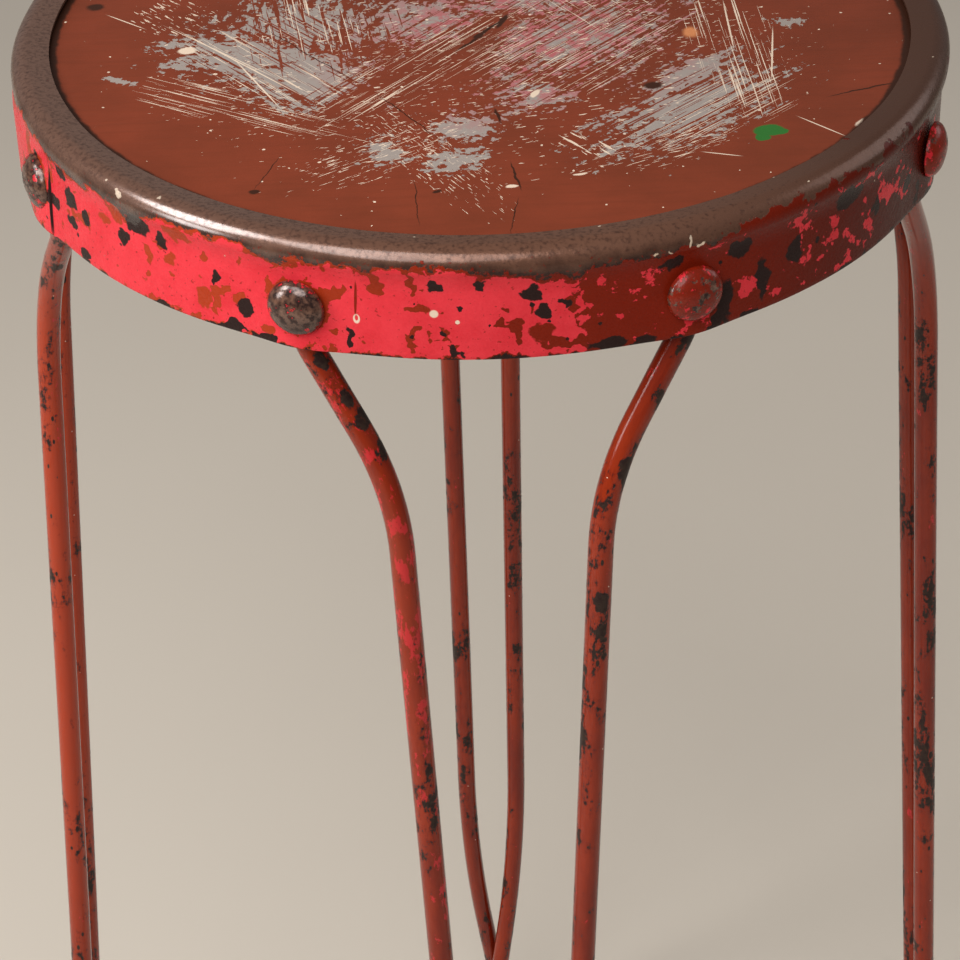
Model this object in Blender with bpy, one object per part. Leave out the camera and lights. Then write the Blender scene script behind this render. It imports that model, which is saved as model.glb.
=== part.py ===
"""Wire stool: a round painted board in a rolled steel band, carried on four legs of folded steel rod.

Metres, +Z up, floor at z = 0, seat axis on the Z axis, front leg towards -Y.
"""
import math

import bmesh
import bpy
from mathutils import Matrix, Vector

MM = 0.001

# Driving dimensions
SEAT_HEIGHT = 762 * MM          # floor to the crest of the rolled lip
BAND_RADIUS = 178 * MM          # outside of the band's wall
BAND_BELOW_RIVET = 16.6 * MM    # rivet centre to the band's bottom edge
SHEET = 1.5 * MM                # band sheet thickness
LIP_BEND = 7.0 * MM             # outside radius of the roll at the band's top
ROLL_PROUD = 2.0 * MM           # outside of the roll beyond the wall below it
NECK_DROP = 9.0 * MM            # centre of the roll down to where the wall is straight
NECK_ANGLE = 30                 # degrees below level where the roll turns into the neck
LIP_FLAT = 8.0 * MM             # run of the lip inward from the crest of the roll
LIP_DROP = 1.6 * MM             # fall of the lip from its crest to its free edge
BOARD_THICKNESS = 12.7 * MM
BOARD_EDGE = 1.0 * MM           # rounding of the board's edges
ROD = 9.5 * MM                  # leg rod diameter
ROD_CLEAR = 1.0 * MM            # round rod to the inside of the band
PADDLE_THICKNESS = 4.4 * MM     # flattened end of the rod
PADDLE_WIDTH = 16.0 * MM
PADDLE_END = 10.5 * MM          # rivet centre to the tip of the flattened end
PADDLE_BELOW = 8.0 * MM         # rivet centre down to the end of the full flat
PADDLE_TAPER = 16.0 * MM        # length over which the flat turns back into round rod
RIVET_HEAD = 21.0 * MM          # head diameter
RIVET_DOME = 6.0 * MM           # head height
RIVET_SHANK = 6.0 * MM
RIVET_TAIL = 11.0 * MM
RIVET_TAIL_HEIGHT = 2.6 * MM
RIVET_SPREAD = math.radians(22.5)
GAP = 0.3 * MM                  # clearance between neighbouring pieces

# Lap seam of the band, an open line beside one rivet
SEAM_LEG = "left"
SEAM_WIDTH = 0.5 * MM
SEAM_DEPTH = 0.45 * SHEET
SEAM_BESIDE = 2.0 * MM          # rim of the rivet head to the seam

# Leg shape
FLARE_LEVEL = 4.0 * MM          # below the band's bottom edge, where the rod turns inward
FLARE_BEND = 12 * MM
WAIST_LEVEL = 58 * MM           # below the band's bottom edge
WAIST_BEND = 115 * MM
SHOULDER_LEVEL = 150 * MM       # above the floor
SHOULDER_BEND = 900 * MM
EYE_LENGTH = 41.5 * MM          # foot to crossing, on the rod's centre line
EYE_WIDTH = 37 * MM             # foot's width on the centre line, its two bends not counted
FOOT_FLAT = 5 * MM              # straight length at the foot's lowest point
FOOT_WEAR = 0.3 * MM            # flat worn on the underside of each foot
CROSS_BEND = 60 * MM
CROSS_WEAVE = 0.58 * ROD        # half distance between strands where they cross
EYE_WEAVE = 0.17 * ROD
FOLD = 0.36                     # outward run of a strand over its run towards the other
SPLAY = 0.055                   # outward lean of the legs, run over rise
LEG_AZIMUTH = {"front": 0.0, "right": 90.0, "back": 180.0, "left": 270.0}
LEG_HALF_GAPS = {               # half distance between strands at waist and shoulder
    "front": (37.0 * MM, 15.6 * MM),
    "right": (24.0 * MM, 14.5 * MM),
    "back": (15.5 * MM, 13.3 * MM),
    "left": (24.0 * MM, 14.5 * MM),
}

# Facets
RING_SEGMENTS = 72
ROD_SIDES = 12
RIVET_SIDES = 12
HEAD_STEPS = 5
TAIL_STEPS = 2
LIP_STEPS = 6
TIP_STEPS = 4
TAPER_STEPS = 4
BEND_STEP = math.radians(13)
EYE_STEP = math.radians(20)
SHOULDER_STEP = math.radians(1.6)
WAIST_STEP = math.radians(5)
TIP_BLUNT = 0.2 * MM            # length by which a rod's rounded tip is cut short
SAME_POINT = 0.01 * MM          # closer points are one point
BEND_SHARE = 0.9                # most of a straight that one bend may take up

# Positions that follow from the dimensions
BEND_X = BAND_RADIUS + ROLL_PROUD - LIP_BEND
BEND_Z = SEAT_HEIGHT - LIP_BEND
LIP_OPENING = BEND_X - LIP_FLAT
WALL_INSIDE = (BAND_RADIUS - SHEET) * math.cos(math.pi / RING_SEGMENTS)
BOARD_TOP = SEAT_HEIGHT - LIP_DROP - SHEET - GAP
BOARD_BOTTOM = BOARD_TOP - BOARD_THICKNESS
PADDLE_TOP = BOARD_BOTTOM - GAP
RIVET_LEVEL = PADDLE_TOP - PADDLE_END
BAND_BOTTOM = RIVET_LEVEL - BAND_BELOW_RIVET
PADDLE_FACE = math.sqrt(WALL_INSIDE ** 2 - (PADDLE_WIDTH / 2) ** 2) - GAP
ROD_RADIAL = WALL_INSIDE - ROD_CLEAR - ROD / 2
HEAD_SEAT = BAND_RADIUS + GAP
TAIL_SEAT = PADDLE_FACE - PADDLE_THICKNESS - GAP
RIVET_HOLE = RIVET_SHANK / 2 + GAP
FULL_FLAT = PADDLE_END + PADDLE_BELOW
FOOT_LEVEL = ROD / 2 - FOOT_WEAR
CROSS_LEVEL = FOOT_LEVEL + EYE_LENGTH


def clear_scene():
    for item in list(bpy.data.objects):
        bpy.data.objects.remove(item, do_unlink=True)


def paint(name, colour, metallic, roughness):
    material = bpy.data.materials.new(name)
    material.use_nodes = True
    shader = material.node_tree.nodes["Principled BSDF"]
    shader.inputs["Base Color"].default_value = (*colour, 1.0)
    shader.inputs["Metallic"].default_value = metallic
    shader.inputs["Roughness"].default_value = roughness
    material.diffuse_color = (*colour, 1.0)
    return material


def add_object(name, bm, material, smooth=True):
    bmesh.ops.recalc_face_normals(bm, faces=bm.faces[:])
    mesh = bpy.data.meshes.new(name)
    for face in bm.faces:
        face.smooth = smooth
    bm.to_mesh(mesh)
    bm.free()
    mesh.materials.append(material)
    item = bpy.data.objects.new(name, mesh)
    bpy.context.scene.collection.objects.link(item)
    return item


def cut(item, cutters):
    """Takes the cutters out of the object, one exact Boolean each."""
    for cutter in cutters:
        modifier = item.modifiers.new("cut", "BOOLEAN")
        modifier.operation = "DIFFERENCE"
        modifier.solver = "EXACT"
        modifier.object = cutter
    view = bpy.context.evaluated_depsgraph_get()
    mesh = bpy.data.meshes.new_from_object(item.evaluated_get(view))
    old = item.data
    item.modifiers.clear()
    mesh.name = old.name
    item.data = mesh
    bpy.data.meshes.remove(old)
    for cutter in cutters:
        bpy.data.objects.remove(cutter, do_unlink=True)


def cutter_object(bm):
    mesh = bpy.data.meshes.new("cutter")
    bm.to_mesh(mesh)
    bm.free()
    item = bpy.data.objects.new("cutter", mesh)
    item.hide_render = True
    item.display_type = "WIRE"
    bpy.context.scene.collection.objects.link(item)
    return item


def radial(azimuth):
    """Unit vector outward at an azimuth counted from the front leg towards +X."""
    return Vector((math.sin(azimuth), -math.cos(azimuth), 0.0))


def lathe(profile, segments):
    """Closed ring or disc from a profile of (radius, height) points, spun about Z."""
    bm = bmesh.new()
    verts = [bm.verts.new((x, 0.0, z)) for x, z in profile]
    edges = [bm.edges.new(pair) for pair in zip(verts, verts[1:])]
    on_axis = profile[0][0] == 0.0 and profile[-1][0] == 0.0
    if not on_axis:
        edges.append(bm.edges.new((verts[-1], verts[0])))
    bmesh.ops.spin(
        bm,
        geom=verts + edges,
        cent=(0, 0, 0),
        axis=(0, 0, 1),
        angle=2 * math.pi,
        steps=segments,
        use_merge=True,
    )
    bmesh.ops.remove_doubles(bm, verts=bm.verts[:], dist=SAME_POINT)
    return bm


def arc(centre_x, centre_z, radius, start, end, steps):
    points = []
    for step in range(steps + 1):
        angle = math.radians(start + (end - start) * step / steps)
        points.append((centre_x + radius * math.cos(angle), centre_z + radius * math.sin(angle)))
    return points


def round_hole(azimuth, inner, outer):
    """Cutter for a rivet hole, from one distance off the seat axis to another."""
    bm = bmesh.new()
    turn = radial(azimuth).to_track_quat("Z", "Y").to_matrix().to_4x4()
    centre = radial(azimuth) * (inner + outer) / 2 + Vector((0, 0, RIVET_LEVEL))
    bmesh.ops.create_cone(
        bm,
        cap_ends=True,
        segments=RIVET_SIDES,
        radius1=RIVET_HOLE,
        radius2=RIVET_HOLE,
        depth=outer - inner,
        matrix=Matrix.Translation(centre) @ turn,
    )
    return cutter_object(bm)


def rivet_azimuths():
    """Azimuths of the rivets in order round the band, two for each leg."""
    azimuths = []
    for leg in LEG_AZIMUTH.values():
        azimuths.append(math.radians(leg) - RIVET_SPREAD)
        azimuths.append(math.radians(leg) + RIVET_SPREAD)
    return azimuths


def build_band(material):
    """Hoop with a rolled lip over a slight neck. The profile goes up the outside and down the inside."""
    fall = math.degrees(math.atan2(LIP_DROP, LIP_FLAT))
    outer = arc(BEND_X, BEND_Z, LIP_BEND, -NECK_ANGLE, 90, LIP_STEPS)
    inner = arc(BEND_X, BEND_Z, LIP_BEND - SHEET, 90 + fall, -NECK_ANGLE, LIP_STEPS)
    profile = [(BAND_RADIUS, BAND_BOTTOM)]
    profile.append((BAND_RADIUS, BEND_Z - NECK_DROP))
    profile += outer
    profile.append((LIP_OPENING, SEAT_HEIGHT - LIP_DROP))
    profile.append((LIP_OPENING, SEAT_HEIGHT - LIP_DROP - SHEET))
    profile += inner
    profile.append((BAND_RADIUS - SHEET, BEND_Z - NECK_DROP))
    profile.append((BAND_RADIUS - SHEET, BAND_BOTTOM))
    band = add_object("seat_band", lathe(profile, RING_SEGMENTS), material)
    cutters = []
    for azimuth in rivet_azimuths():
        cutters.append(round_hole(azimuth, PADDLE_FACE, HEAD_SEAT + RIVET_DOME))
    cutters.append(seam_cutter())
    cut(band, cutters)
    return band


def seam_cutter():
    """Shallow upright groove on the outside of the band, beside the rivet that clamps its lap."""
    azimuth = math.radians(LEG_AZIMUTH[SEAM_LEG]) + RIVET_SPREAD
    azimuth += (RIVET_HEAD / 2 + SEAM_BESIDE) / BAND_RADIUS
    reach = SEAM_DEPTH + SHEET
    low = BAND_BOTTOM - reach
    high = BEND_Z - NECK_DROP
    floor_radius = BAND_RADIUS - SEAM_DEPTH
    centre = radial(azimuth) * (floor_radius + reach / 2) + Vector((0, 0, (low + high) / 2))
    turn = Matrix.Rotation(azimuth, 4, "Z")
    size = Matrix.Diagonal((SEAM_WIDTH, reach, high - low, 1.0))
    bm = bmesh.new()
    bmesh.ops.create_cube(bm, size=1.0, matrix=Matrix.Translation(centre) @ turn @ size)
    return cutter_object(bm)


def build_board(material):
    """Disc that fills the band below the lip, clear of the roll's inside."""
    roll_inside = LIP_BEND - SHEET
    above_bend = max(0.0, BOARD_TOP - BEND_Z)
    reach = BEND_X + math.sqrt(roll_inside ** 2 - above_bend ** 2)
    radius = min(reach, BAND_RADIUS - SHEET) * math.cos(math.pi / RING_SEGMENTS) - GAP
    profile = [
        (0.0, BOARD_BOTTOM),
        (radius - BOARD_EDGE, BOARD_BOTTOM),
        (radius, BOARD_BOTTOM + BOARD_EDGE),
        (radius, BOARD_TOP - BOARD_EDGE),
        (radius - BOARD_EDGE, BOARD_TOP),
        (0.0, BOARD_TOP),
    ]
    return add_object("seat_board", lathe(profile, RING_SEGMENTS), material, smooth=False)


def dome(radius, height, steps):
    """Points (radius, height) of a dome from its rim to its top."""
    curve = (radius ** 2 + height ** 2) / (2 * height)
    half = math.degrees(math.asin(min(1.0, radius / curve)))
    if height > radius:
        half = 180 - half
    points = arc(0.0, height - curve, curve, 90 - half, 90, steps)
    points[-1] = (0.0, height)
    return points


def build_rivet(name, azimuth, material):
    """Domed head outside the band, shank through band and rod end, peened tail inside."""
    tail = dome(RIVET_TAIL / 2, RIVET_TAIL_HEIGHT, TAIL_STEPS)
    head = dome(RIVET_HEAD / 2, RIVET_DOME, HEAD_STEPS)
    profile = [(radius, TAIL_SEAT - height) for radius, height in reversed(tail)]
    profile.append((RIVET_SHANK / 2, TAIL_SEAT))
    profile.append((RIVET_SHANK / 2, HEAD_SEAT))
    profile += [(radius, HEAD_SEAT + height) for radius, height in head]
    bm = lathe(profile, RIVET_SIDES)
    turn = radial(azimuth).to_track_quat("Z", "Y").to_matrix().to_4x4()
    bmesh.ops.transform(bm, matrix=Matrix.Translation((0, 0, RIVET_LEVEL)) @ turn, verts=bm.verts[:])
    return add_object(name, bm, material)


def bent_path(corners):
    """Rod centre line through corner points, each corner rounded to its bend radius."""
    points = [corners[0][0]]
    taken = 0.0
    for before, here, after in zip(corners, corners[1:], corners[2:]):
        corner, radius, step = here
        back = (before[0] - corner).normalized()
        ahead = (after[0] - corner).normalized()
        turn = math.pi - back.angle(ahead)
        room = min((before[0] - corner).length - taken, (after[0] - corner).length)
        run = min(radius * math.tan(turn / 2), room * BEND_SHARE)
        radius = run / math.tan(turn / 2)
        taken = run
        middle = (back + ahead).normalized()
        centre = corner + middle * (radius / math.cos(turn / 2))
        first = corner + back * run - centre
        last = corner + ahead * run - centre
        count = max(1, math.ceil(turn / step))
        for index in range(count + 1):
            share = index / count
            weight_first = math.sin((1 - share) * turn) / math.sin(turn)
            weight_last = math.sin(share * turn) / math.sin(turn)
            points.append(centre + first * weight_first + last * weight_last)
    points.append(corners[-1][0])
    return points


def strand_corners(side, waist, shoulder):
    """Corners of one strand from its rivet to the foot, as (along the band, outward, up)."""
    along = ROD_RADIAL * math.sin(RIVET_SPREAD)
    outward = ROD_RADIAL * math.cos(RIVET_SPREAD)
    flare = BAND_BOTTOM - FLARE_LEVEL
    waist_z = BAND_BOTTOM - WAIST_LEVEL
    waist_out = outward + (along - waist) * FOLD + (flare - waist_z) * SPLAY
    shoulder_out = waist_out + (waist - shoulder) * FOLD + (waist_z - SHOULDER_LEVEL) * SPLAY
    cross_out = shoulder_out + (SHOULDER_LEVEL - CROSS_LEVEL) * SPLAY
    foot_out = cross_out + EYE_LENGTH * SPLAY
    eye = EYE_WIDTH / 2
    eye_turn = math.pi / 2 + math.atan2(eye, EYE_LENGTH)
    eye_bend = (eye - FOOT_FLAT / 2) / math.tan(eye_turn / 2)
    return [
        (Vector((side * along, outward, PADDLE_TOP)), 0.0, 0.0),
        (Vector((side * along, outward, flare)), FLARE_BEND, BEND_STEP),
        (Vector((side * waist, waist_out, waist_z)), WAIST_BEND, WAIST_STEP),
        (Vector((side * shoulder, shoulder_out, SHOULDER_LEVEL)), SHOULDER_BEND, SHOULDER_STEP),
        (Vector((0.0, cross_out + side * CROSS_WEAVE, CROSS_LEVEL)), CROSS_BEND, BEND_STEP),
        (Vector((-side * eye, foot_out + side * EYE_WEAVE, FOOT_LEVEL)), eye_bend, EYE_STEP),
    ]


def paddle_stations():
    """Distances from the rod's tip where its section changes."""
    stations = []
    for step in range(1, TIP_STEPS + 1):
        stations.append(PADDLE_WIDTH / 2 * (1 - math.cos(math.pi / 2 * step / TIP_STEPS)))
    for step in range(TAPER_STEPS + 1):
        stations.append(FULL_FLAT + PADDLE_TAPER * step / TAPER_STEPS)
    return sorted(stations)


def with_stations(points, stations):
    """The same path with extra points at the given distances from its start."""
    result = [points[0]]
    travelled = 0.0
    pending = list(stations)
    for here, following in zip(points, points[1:]):
        length = (following - here).length
        while pending and pending[0] < travelled + length - TIP_BLUNT:
            beyond = pending.pop(0) - travelled
            if beyond > TIP_BLUNT:
                result.append(here.lerp(following, beyond / length))
        result.append(following)
        travelled += length
    return result


def section(distance):
    """Half width and half thickness of the rod at a distance from its tip."""
    round_end = PADDLE_WIDTH / 2
    if distance < round_end:
        width = math.sqrt(round_end ** 2 - (round_end - max(distance, TIP_BLUNT)) ** 2)
        return width, PADDLE_THICKNESS / 2
    share = min(1.0, max(0.0, (distance - FULL_FLAT) / PADDLE_TAPER))
    share = share * share * (3 - 2 * share)
    width = PADDLE_WIDTH / 2 + (ROD - PADDLE_WIDTH) / 2 * share
    thickness = PADDLE_THICKNESS / 2 + (ROD - PADDLE_THICKNESS) / 2 * share
    return width, thickness


def distances(points):
    total = [0.0]
    for here, following in zip(points, points[1:]):
        total.append(total[-1] + (following - here).length)
    return total


def ring_point(angle, half_width, half_thickness):
    """Point of a rod section: round, or squarer the flatter it is hammered."""
    power = 0.5 + 0.5 * half_thickness / max(half_width, half_thickness)
    across = math.copysign(abs(math.cos(angle)) ** power, math.cos(angle)) * half_width
    out = math.copysign(abs(math.sin(angle)) ** power, math.sin(angle)) * half_thickness
    return across, out


def sweep_rod(path):
    """Closed rod along the path, flattened at both ends against the band's wall."""
    bm = bmesh.new()
    run = distances(path)
    half = len(path) // 2
    rings = []
    for index, point in enumerate(path):
        before = path[max(index - 1, 0)]
        after = path[min(index + 1, len(path) - 1)]
        heading = (after - before).normalized()
        from_tip = min(run[index], run[-1] - run[index])
        side = -1 if index < half else 1
        blend = min(1.0, max(0.0, (from_tip - FULL_FLAT) / WAIST_LEVEL))
        lean = side * RIVET_SPREAD * (1.0 - blend)
        facing = Vector((math.sin(lean), math.cos(lean), 0.0))
        half_width, half_thickness = section(from_tip)
        shift = 0.0
        if half_thickness < ROD / 2:
            face = PADDLE_FACE - ROD_RADIAL
            shift = (face - half_thickness) * (ROD / 2 - half_thickness)
            shift /= ROD / 2 - PADDLE_THICKNESS / 2
        out = (facing - heading * facing.dot(heading)).normalized()
        across = heading.cross(out).normalized()
        ring = []
        for corner in range(ROD_SIDES):
            angle = 2 * math.pi * (corner + 0.5) / ROD_SIDES
            x, y = ring_point(angle, half_width, half_thickness)
            ring.append(bm.verts.new(point + across * x + out * (y + shift)))
        rings.append(ring)
    for ring, following in zip(rings, rings[1:]):
        for corner in range(ROD_SIDES):
            beside = (corner + 1) % ROD_SIDES
            bm.faces.new((ring[corner], ring[beside], following[beside], following[corner]))
    bm.faces.new(rings[0])
    bm.faces.new(rings[-1])
    return bm


def build_leg(name, material):
    """One rod: down from a rivet, round the foot's eye and back up to the next rivet."""
    waist, shoulder = LEG_HALF_GAPS[name]
    azimuth = math.radians(LEG_AZIMUTH[name])
    down = strand_corners(-1, waist, shoulder)
    up = strand_corners(1, waist, shoulder)
    path = bent_path(down + up[::-1])
    path = with_stations(path, paddle_stations())
    path = with_stations(path[::-1], paddle_stations())[::-1]
    bm = sweep_rod(path)
    beneath = [vert for vert in bm.verts if vert.co.z < 0.0]
    for vert in beneath:
        vert.co.z = 0.0
    place = Matrix((
        (math.cos(azimuth), math.sin(azimuth), 0, 0),
        (math.sin(azimuth), -math.cos(azimuth), 0, 0),
        (0, 0, 1, 0),
        (0, 0, 0, 1),
    ))
    bmesh.ops.transform(bm, matrix=place, verts=bm.verts[:])
    leg = add_object("leg_" + name, bm, material)
    cutters = []
    for spread in (-RIVET_SPREAD, RIVET_SPREAD):
        cutters.append(round_hole(azimuth + spread, TAIL_SEAT - RIVET_TAIL_HEIGHT, BAND_RADIUS))
    cut(leg, cutters)
    return leg


def main():
    clear_scene()
    board_paint = paint("board_paint", (0.16, 0.035, 0.018), 0.0, 0.5)
    build_board(board_paint)
    build_band(paint("band_paint", (0.55, 0.03, 0.035), 0.0, 0.4))
    for name in LEG_AZIMUTH:
        build_leg(name, paint("leg_paint_" + name, (0.3, 0.035, 0.018), 0.0, 0.45))
    for index, azimuth in enumerate(rivet_azimuths()):
        name = "rivet_{:02d}".format(index + 1)
        build_rivet(name, azimuth, paint(name + "_steel", (0.2, 0.09, 0.07), 0.8, 0.4))


main()
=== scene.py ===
"""Worn wire stool: the visible board, band, rod legs and rivets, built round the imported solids."""
import math

import bmesh
import bpy
from bpy.props import FloatProperty, FloatVectorProperty, PointerProperty
from mathutils import Matrix, Vector, noise


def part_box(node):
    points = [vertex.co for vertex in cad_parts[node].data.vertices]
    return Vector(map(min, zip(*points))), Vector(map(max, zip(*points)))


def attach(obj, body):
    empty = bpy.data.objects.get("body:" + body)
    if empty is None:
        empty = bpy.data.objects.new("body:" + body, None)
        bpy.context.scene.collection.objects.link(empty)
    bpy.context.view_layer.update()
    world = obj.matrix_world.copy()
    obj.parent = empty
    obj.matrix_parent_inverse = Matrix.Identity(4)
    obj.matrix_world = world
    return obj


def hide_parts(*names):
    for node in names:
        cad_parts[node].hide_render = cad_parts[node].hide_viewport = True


bl_info = {
    "name": "Worn wire stool",
    "version": (1, 0, 0),
    "blender": (4, 5, 0),
    "location": "View3D > Sidebar > Stool",
    "description": "Builds the visible pieces of a worn wire stool round its solids",
    "category": "Add Mesh",
}

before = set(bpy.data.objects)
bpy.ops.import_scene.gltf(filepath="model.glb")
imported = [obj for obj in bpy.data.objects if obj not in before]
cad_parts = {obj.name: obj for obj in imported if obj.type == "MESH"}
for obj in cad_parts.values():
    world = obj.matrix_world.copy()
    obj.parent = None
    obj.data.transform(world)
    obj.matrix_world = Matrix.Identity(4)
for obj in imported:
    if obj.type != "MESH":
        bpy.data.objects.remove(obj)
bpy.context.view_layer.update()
MM = 0.001
BAND_LOW, BAND_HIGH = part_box("seat_band")
BOARD_LOW, BOARD_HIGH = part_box("seat_board")
RIVET_LOW, RIVET_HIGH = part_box("rivet_01")

LEG_AZIMUTH = {"front": 0.0, "right": 90.0, "back": 180.0, "left": 270.0}
LEG_HALF_GAPS = {               # half distance between strands at waist and shoulder, mm
    "front": (37.0, 15.6),
    "right": (24.0, 14.5),
    "back": (15.5, 13.3),
    "left": (24.0, 14.5),
}
RIVET_SPREAD = math.radians(22.5)
RIVET_PITCH = 2 * RIVET_SPREAD
WELD = 0.001 * MM               # vertices this near are one
BOARD_SIDES = 160
BAND_FACETS = 72                # sides of the solid band, which the rod ends clear
BAND_STEPS = 288                # steps of the visible band round the seat
BEND_STEPS = 14                 # steps along the wall, the roll and a rivet's dome
BAND_WAVE = 0.35 * MM           # unevenness of the band
BAND_EDGE = 0.4 * MM            # rounding of the sheet's edges
LAP_MARGIN = 2 * MM             # head of the rivet at the lap to the lap
LAP_STEP = 0.4 * MM             # run of the step where the sheet ends
LAP_RUN = 24 * MM               # length over which the outer end rises over the inner one
SPRING_AZIMUTH = math.radians(-84)      # middle of the wall that has sprung out behind the lap
SPRING_WIDTH = math.radians(15)
ROD_SIDES = 24
RING_SPACING = 5 * MM           # most between two rings of a rod
RING_TURN = math.radians(9)     # most turn between two rings of a bend
TIP_START = 0.2 * MM            # place of a rod's first ring, which needs some width
FLARE_DROP = 4 * MM             # bend of a strand below the band
LEG_APART = 3.0                 # metres along the rod's pattern from one leg to the next
RIVET_STEPS = 48
RIVET_DENT = 0.22 * MM          # most that a rivet head is dented
LAMPS = (                       # azimuth and elevation in degrees, distance and size in metres, watts
    ("window", -74, 36, 2.1, 1.1, 26.0),
    ("low window", -68, 9, 2.1, 0.6, 7.0),
    ("softbox", -22, 43, 2.3, 2.0, 46.0),
    ("fill", 108, 26, 2.4, 1.8, 14.0),
)
SKY = (1.0, 0.97, 0.94, 1.0)    # faint warm light from all round
SKY_STRENGTH = 0.16

NOISE = "ShaderNodeTexNoise"
CELLS = "ShaderNodeTexVoronoi"
MATH = "ShaderNodeMath"
VECTOR_MATH = "ShaderNodeVectorMath"
MIX = "ShaderNodeMix"
RANGE = "ShaderNodeMapRange"    # takes a value, from low, from high, to low, to high
MAPPING = "ShaderNodeMapping"


def linear(code):
    """Linear colour with alpha from an sRGB hex code."""
    channels = [int(code[i:i + 2], 16) / 255 for i in (1, 3, 5)]
    return (*[c / 12.92 if c <= 0.04045 else ((c + 0.055) / 1.055) ** 2.4 for c in channels], 1.0)


def length(name, millimetres, description):
    """A length property whose default is given in millimetres."""
    return FloatProperty(
        name=name, description=description, default=millimetres * MM, min=0.0, unit="LENGTH", precision=5
    )


def angle(name, degrees, description):
    """An angle property whose default is given in degrees."""
    return FloatProperty(
        name=name, description=description, default=math.radians(degrees), subtype="ANGLE"
    )


def colour(name, code, description):
    """A colour property whose default is an sRGB hex code."""
    return FloatVectorProperty(
        name=name, description=description, default=linear(code), size=4, min=0.0, max=1.0, subtype="COLOR"
    )


class StoolSizes(bpy.types.PropertyGroup):
    """Sizes of the visible pieces. Defaults follow the solids."""

    band_radius: length("Band radius", BAND_HIGH.x / MM - 2.0, "Outside of the band's wall")
    roll_proud: length("Roll overhang", 2.0, "Outside of the roll beyond the wall below it")
    neck_drop: length("Neck", 9.0, "Centre of the roll down to where the wall is straight")
    sheet: length("Sheet", 1.5, "Thickness of the band's sheet steel")
    roll: length("Roll", 7.0, "Outside radius of the roll at the band's top")
    lip_flat: length("Lip", 8.0, "Run of the lip inward from the crest of the roll")
    lip_drop: length("Lip drop", 1.6, "Fall of the lip to its free edge")
    lip_lift: length("Lip lift", 1.1, "Most that the lip's free edge has sprung up from the board")
    bulge: length("Bulge", 2.2, "Most that a rod's end has pushed the band out")
    bulge_width: length("Bulge width", 10.0, "Distance over which a bulge fades along the band")
    lap: length("Lap", 0.7, "Step where the band's ends overlap")
    lap_spring: length("Lap spring", 2.6, "Most that the wall has sprung out behind the lap")
    board_radius: length("Board radius", BOARD_HIGH.x / MM, "Rim of the seat board")
    board_edge: length("Board edge", 1.0, "Rounding of the board's rim")
    rod: length("Rod", 9.5, "Diameter of the leg rod")
    rod_clear: length("Rod clearance", 1.0, "Round rod to the inside of the band")
    end_thickness: length("Rod end thickness", 4.4, "Thickness of the hammered rod end")
    end_width: length("Rod end width", 16.0, "Width of the hammered rod end")
    rivet_to_end: length("Rivet to tip", 10.5, "Rivet centre to the tip of the rod end")
    full_flat: length("Flat", 18.5, "Length of rod that is hammered fully flat")
    taper: length("Taper", 16.0, "Length over which the flat turns back into round rod")
    rivet_head: length("Rivet head", 21.0, "Diameter of a rivet head")
    rivet_dome: length("Rivet dome", 6.0, "Height of a rivet head")
    rivet_rim: length("Rivet rim", 0.7, "Upright rim under a rivet's dome")
    rivet_tail: length("Rivet tail", 11.0, "Diameter of the peened tail")
    rivet_tail_height: length("Rivet tail height", 2.6, "Height of the peened tail")
    rivet_shank: length("Rivet shank", 6.0, "Diameter of the shank")
    gap: length("Gap", 0.3, "Clearance between neighbouring pieces")
    waist: length("Waist", 58.0, "Waist of the legs below the band")
    shoulder: length("Shoulder", 150.0, "Shoulder of the legs above the floor")
    eye_length: length("Eye length", 41.5, "Foot to crossing on the rod's centre line")
    eye_width: length("Eye width", 37.0, "Width of the foot's eye, bends not counted")
    foot_flat: length("Foot flat", 5.0, "Straight length at the lowest point of a foot")
    foot_wear: length("Foot wear", 0.3, "Depth worn off the underside of a foot")
    fold: FloatProperty(name="Fold", description="Outward run over run inward", default=0.36)
    splay: FloatProperty(name="Splay", description="Outward lean of the legs", default=0.055)


class StoolColours(bpy.types.PropertyGroup):
    """Colours of the finishes."""

    board_enamel: colour("Board enamel", "#7e3823", "Red-brown enamel on the board")
    # Also laid as painted shadow in a ring round each scraped patch
    board_shade: colour("Board enamel, dull", "#69301d", "The same enamel where it is dull")
    primer: colour("Primer", "#988c84", "Grey primer under the board's enamel")
    old_pink: colour("Old pink", "#ab5f60", "Traces of an older pink coat")
    cream: colour("Cream", "#dcc5ae", "Filler that shows in scratches")
    # Also laid as the painted shadow of the lip, in a ring round the board's rim
    gouge_and_shadow: colour("Gouge", "#3a1f14", "Dirt in cracks, holes and gouges")
    green_dab: colour("Green dab", "#2f6a2c", "A dab of green paint")
    orange_dab: colour("Orange dab", "#c98052", "A dab of orange paint")
    board_wood: colour("Board wood", "#7b5a3c", "Bare wood under the board")
    top_coat: colour("Band top coat", "#da3740", "Pinkish red enamel on the band")
    top_coat_faded: colour("Band top coat, faded", "#c92831", "The same enamel where it is rubbed thin")
    under_coat: colour("Band under coat", "#7d1d0b", "Older brick red enamel on the band")
    # Painted light: the under coat as it looks when lit, laid on the left of the band and on the left leg
    under_coat_lit: colour("Band under coat, clean", "#a8391b", "The older enamel where it is bright")
    # Painted shade: the under coat as it looks in shade, laid on the right of the band
    under_coat_shaded: colour("Band under coat, aged", "#36110a", "The older enamel where it has darkened")
    steel: colour("Steel", "#74503f", "Bare steel with a brown patina")
    # Also laid as painted shade on the steel at the right of the band and low on the rivets
    dark_steel_and_shade: colour("Dark steel", "#291a18", "Bare steel gone nearly black")
    rod_enamel: colour("Rod enamel", "#8a2a10", "Brick red enamel on the rods")
    rod_shade: colour("Rod enamel, dull", "#6e1d0d", "The same enamel where it is dull")
    rod_chip: colour("Rod chip", "#33261f", "Steel that shows where the rod is chipped")
    floor: colour("Floor", "#d9cebf", "Plain pale floor")


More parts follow.
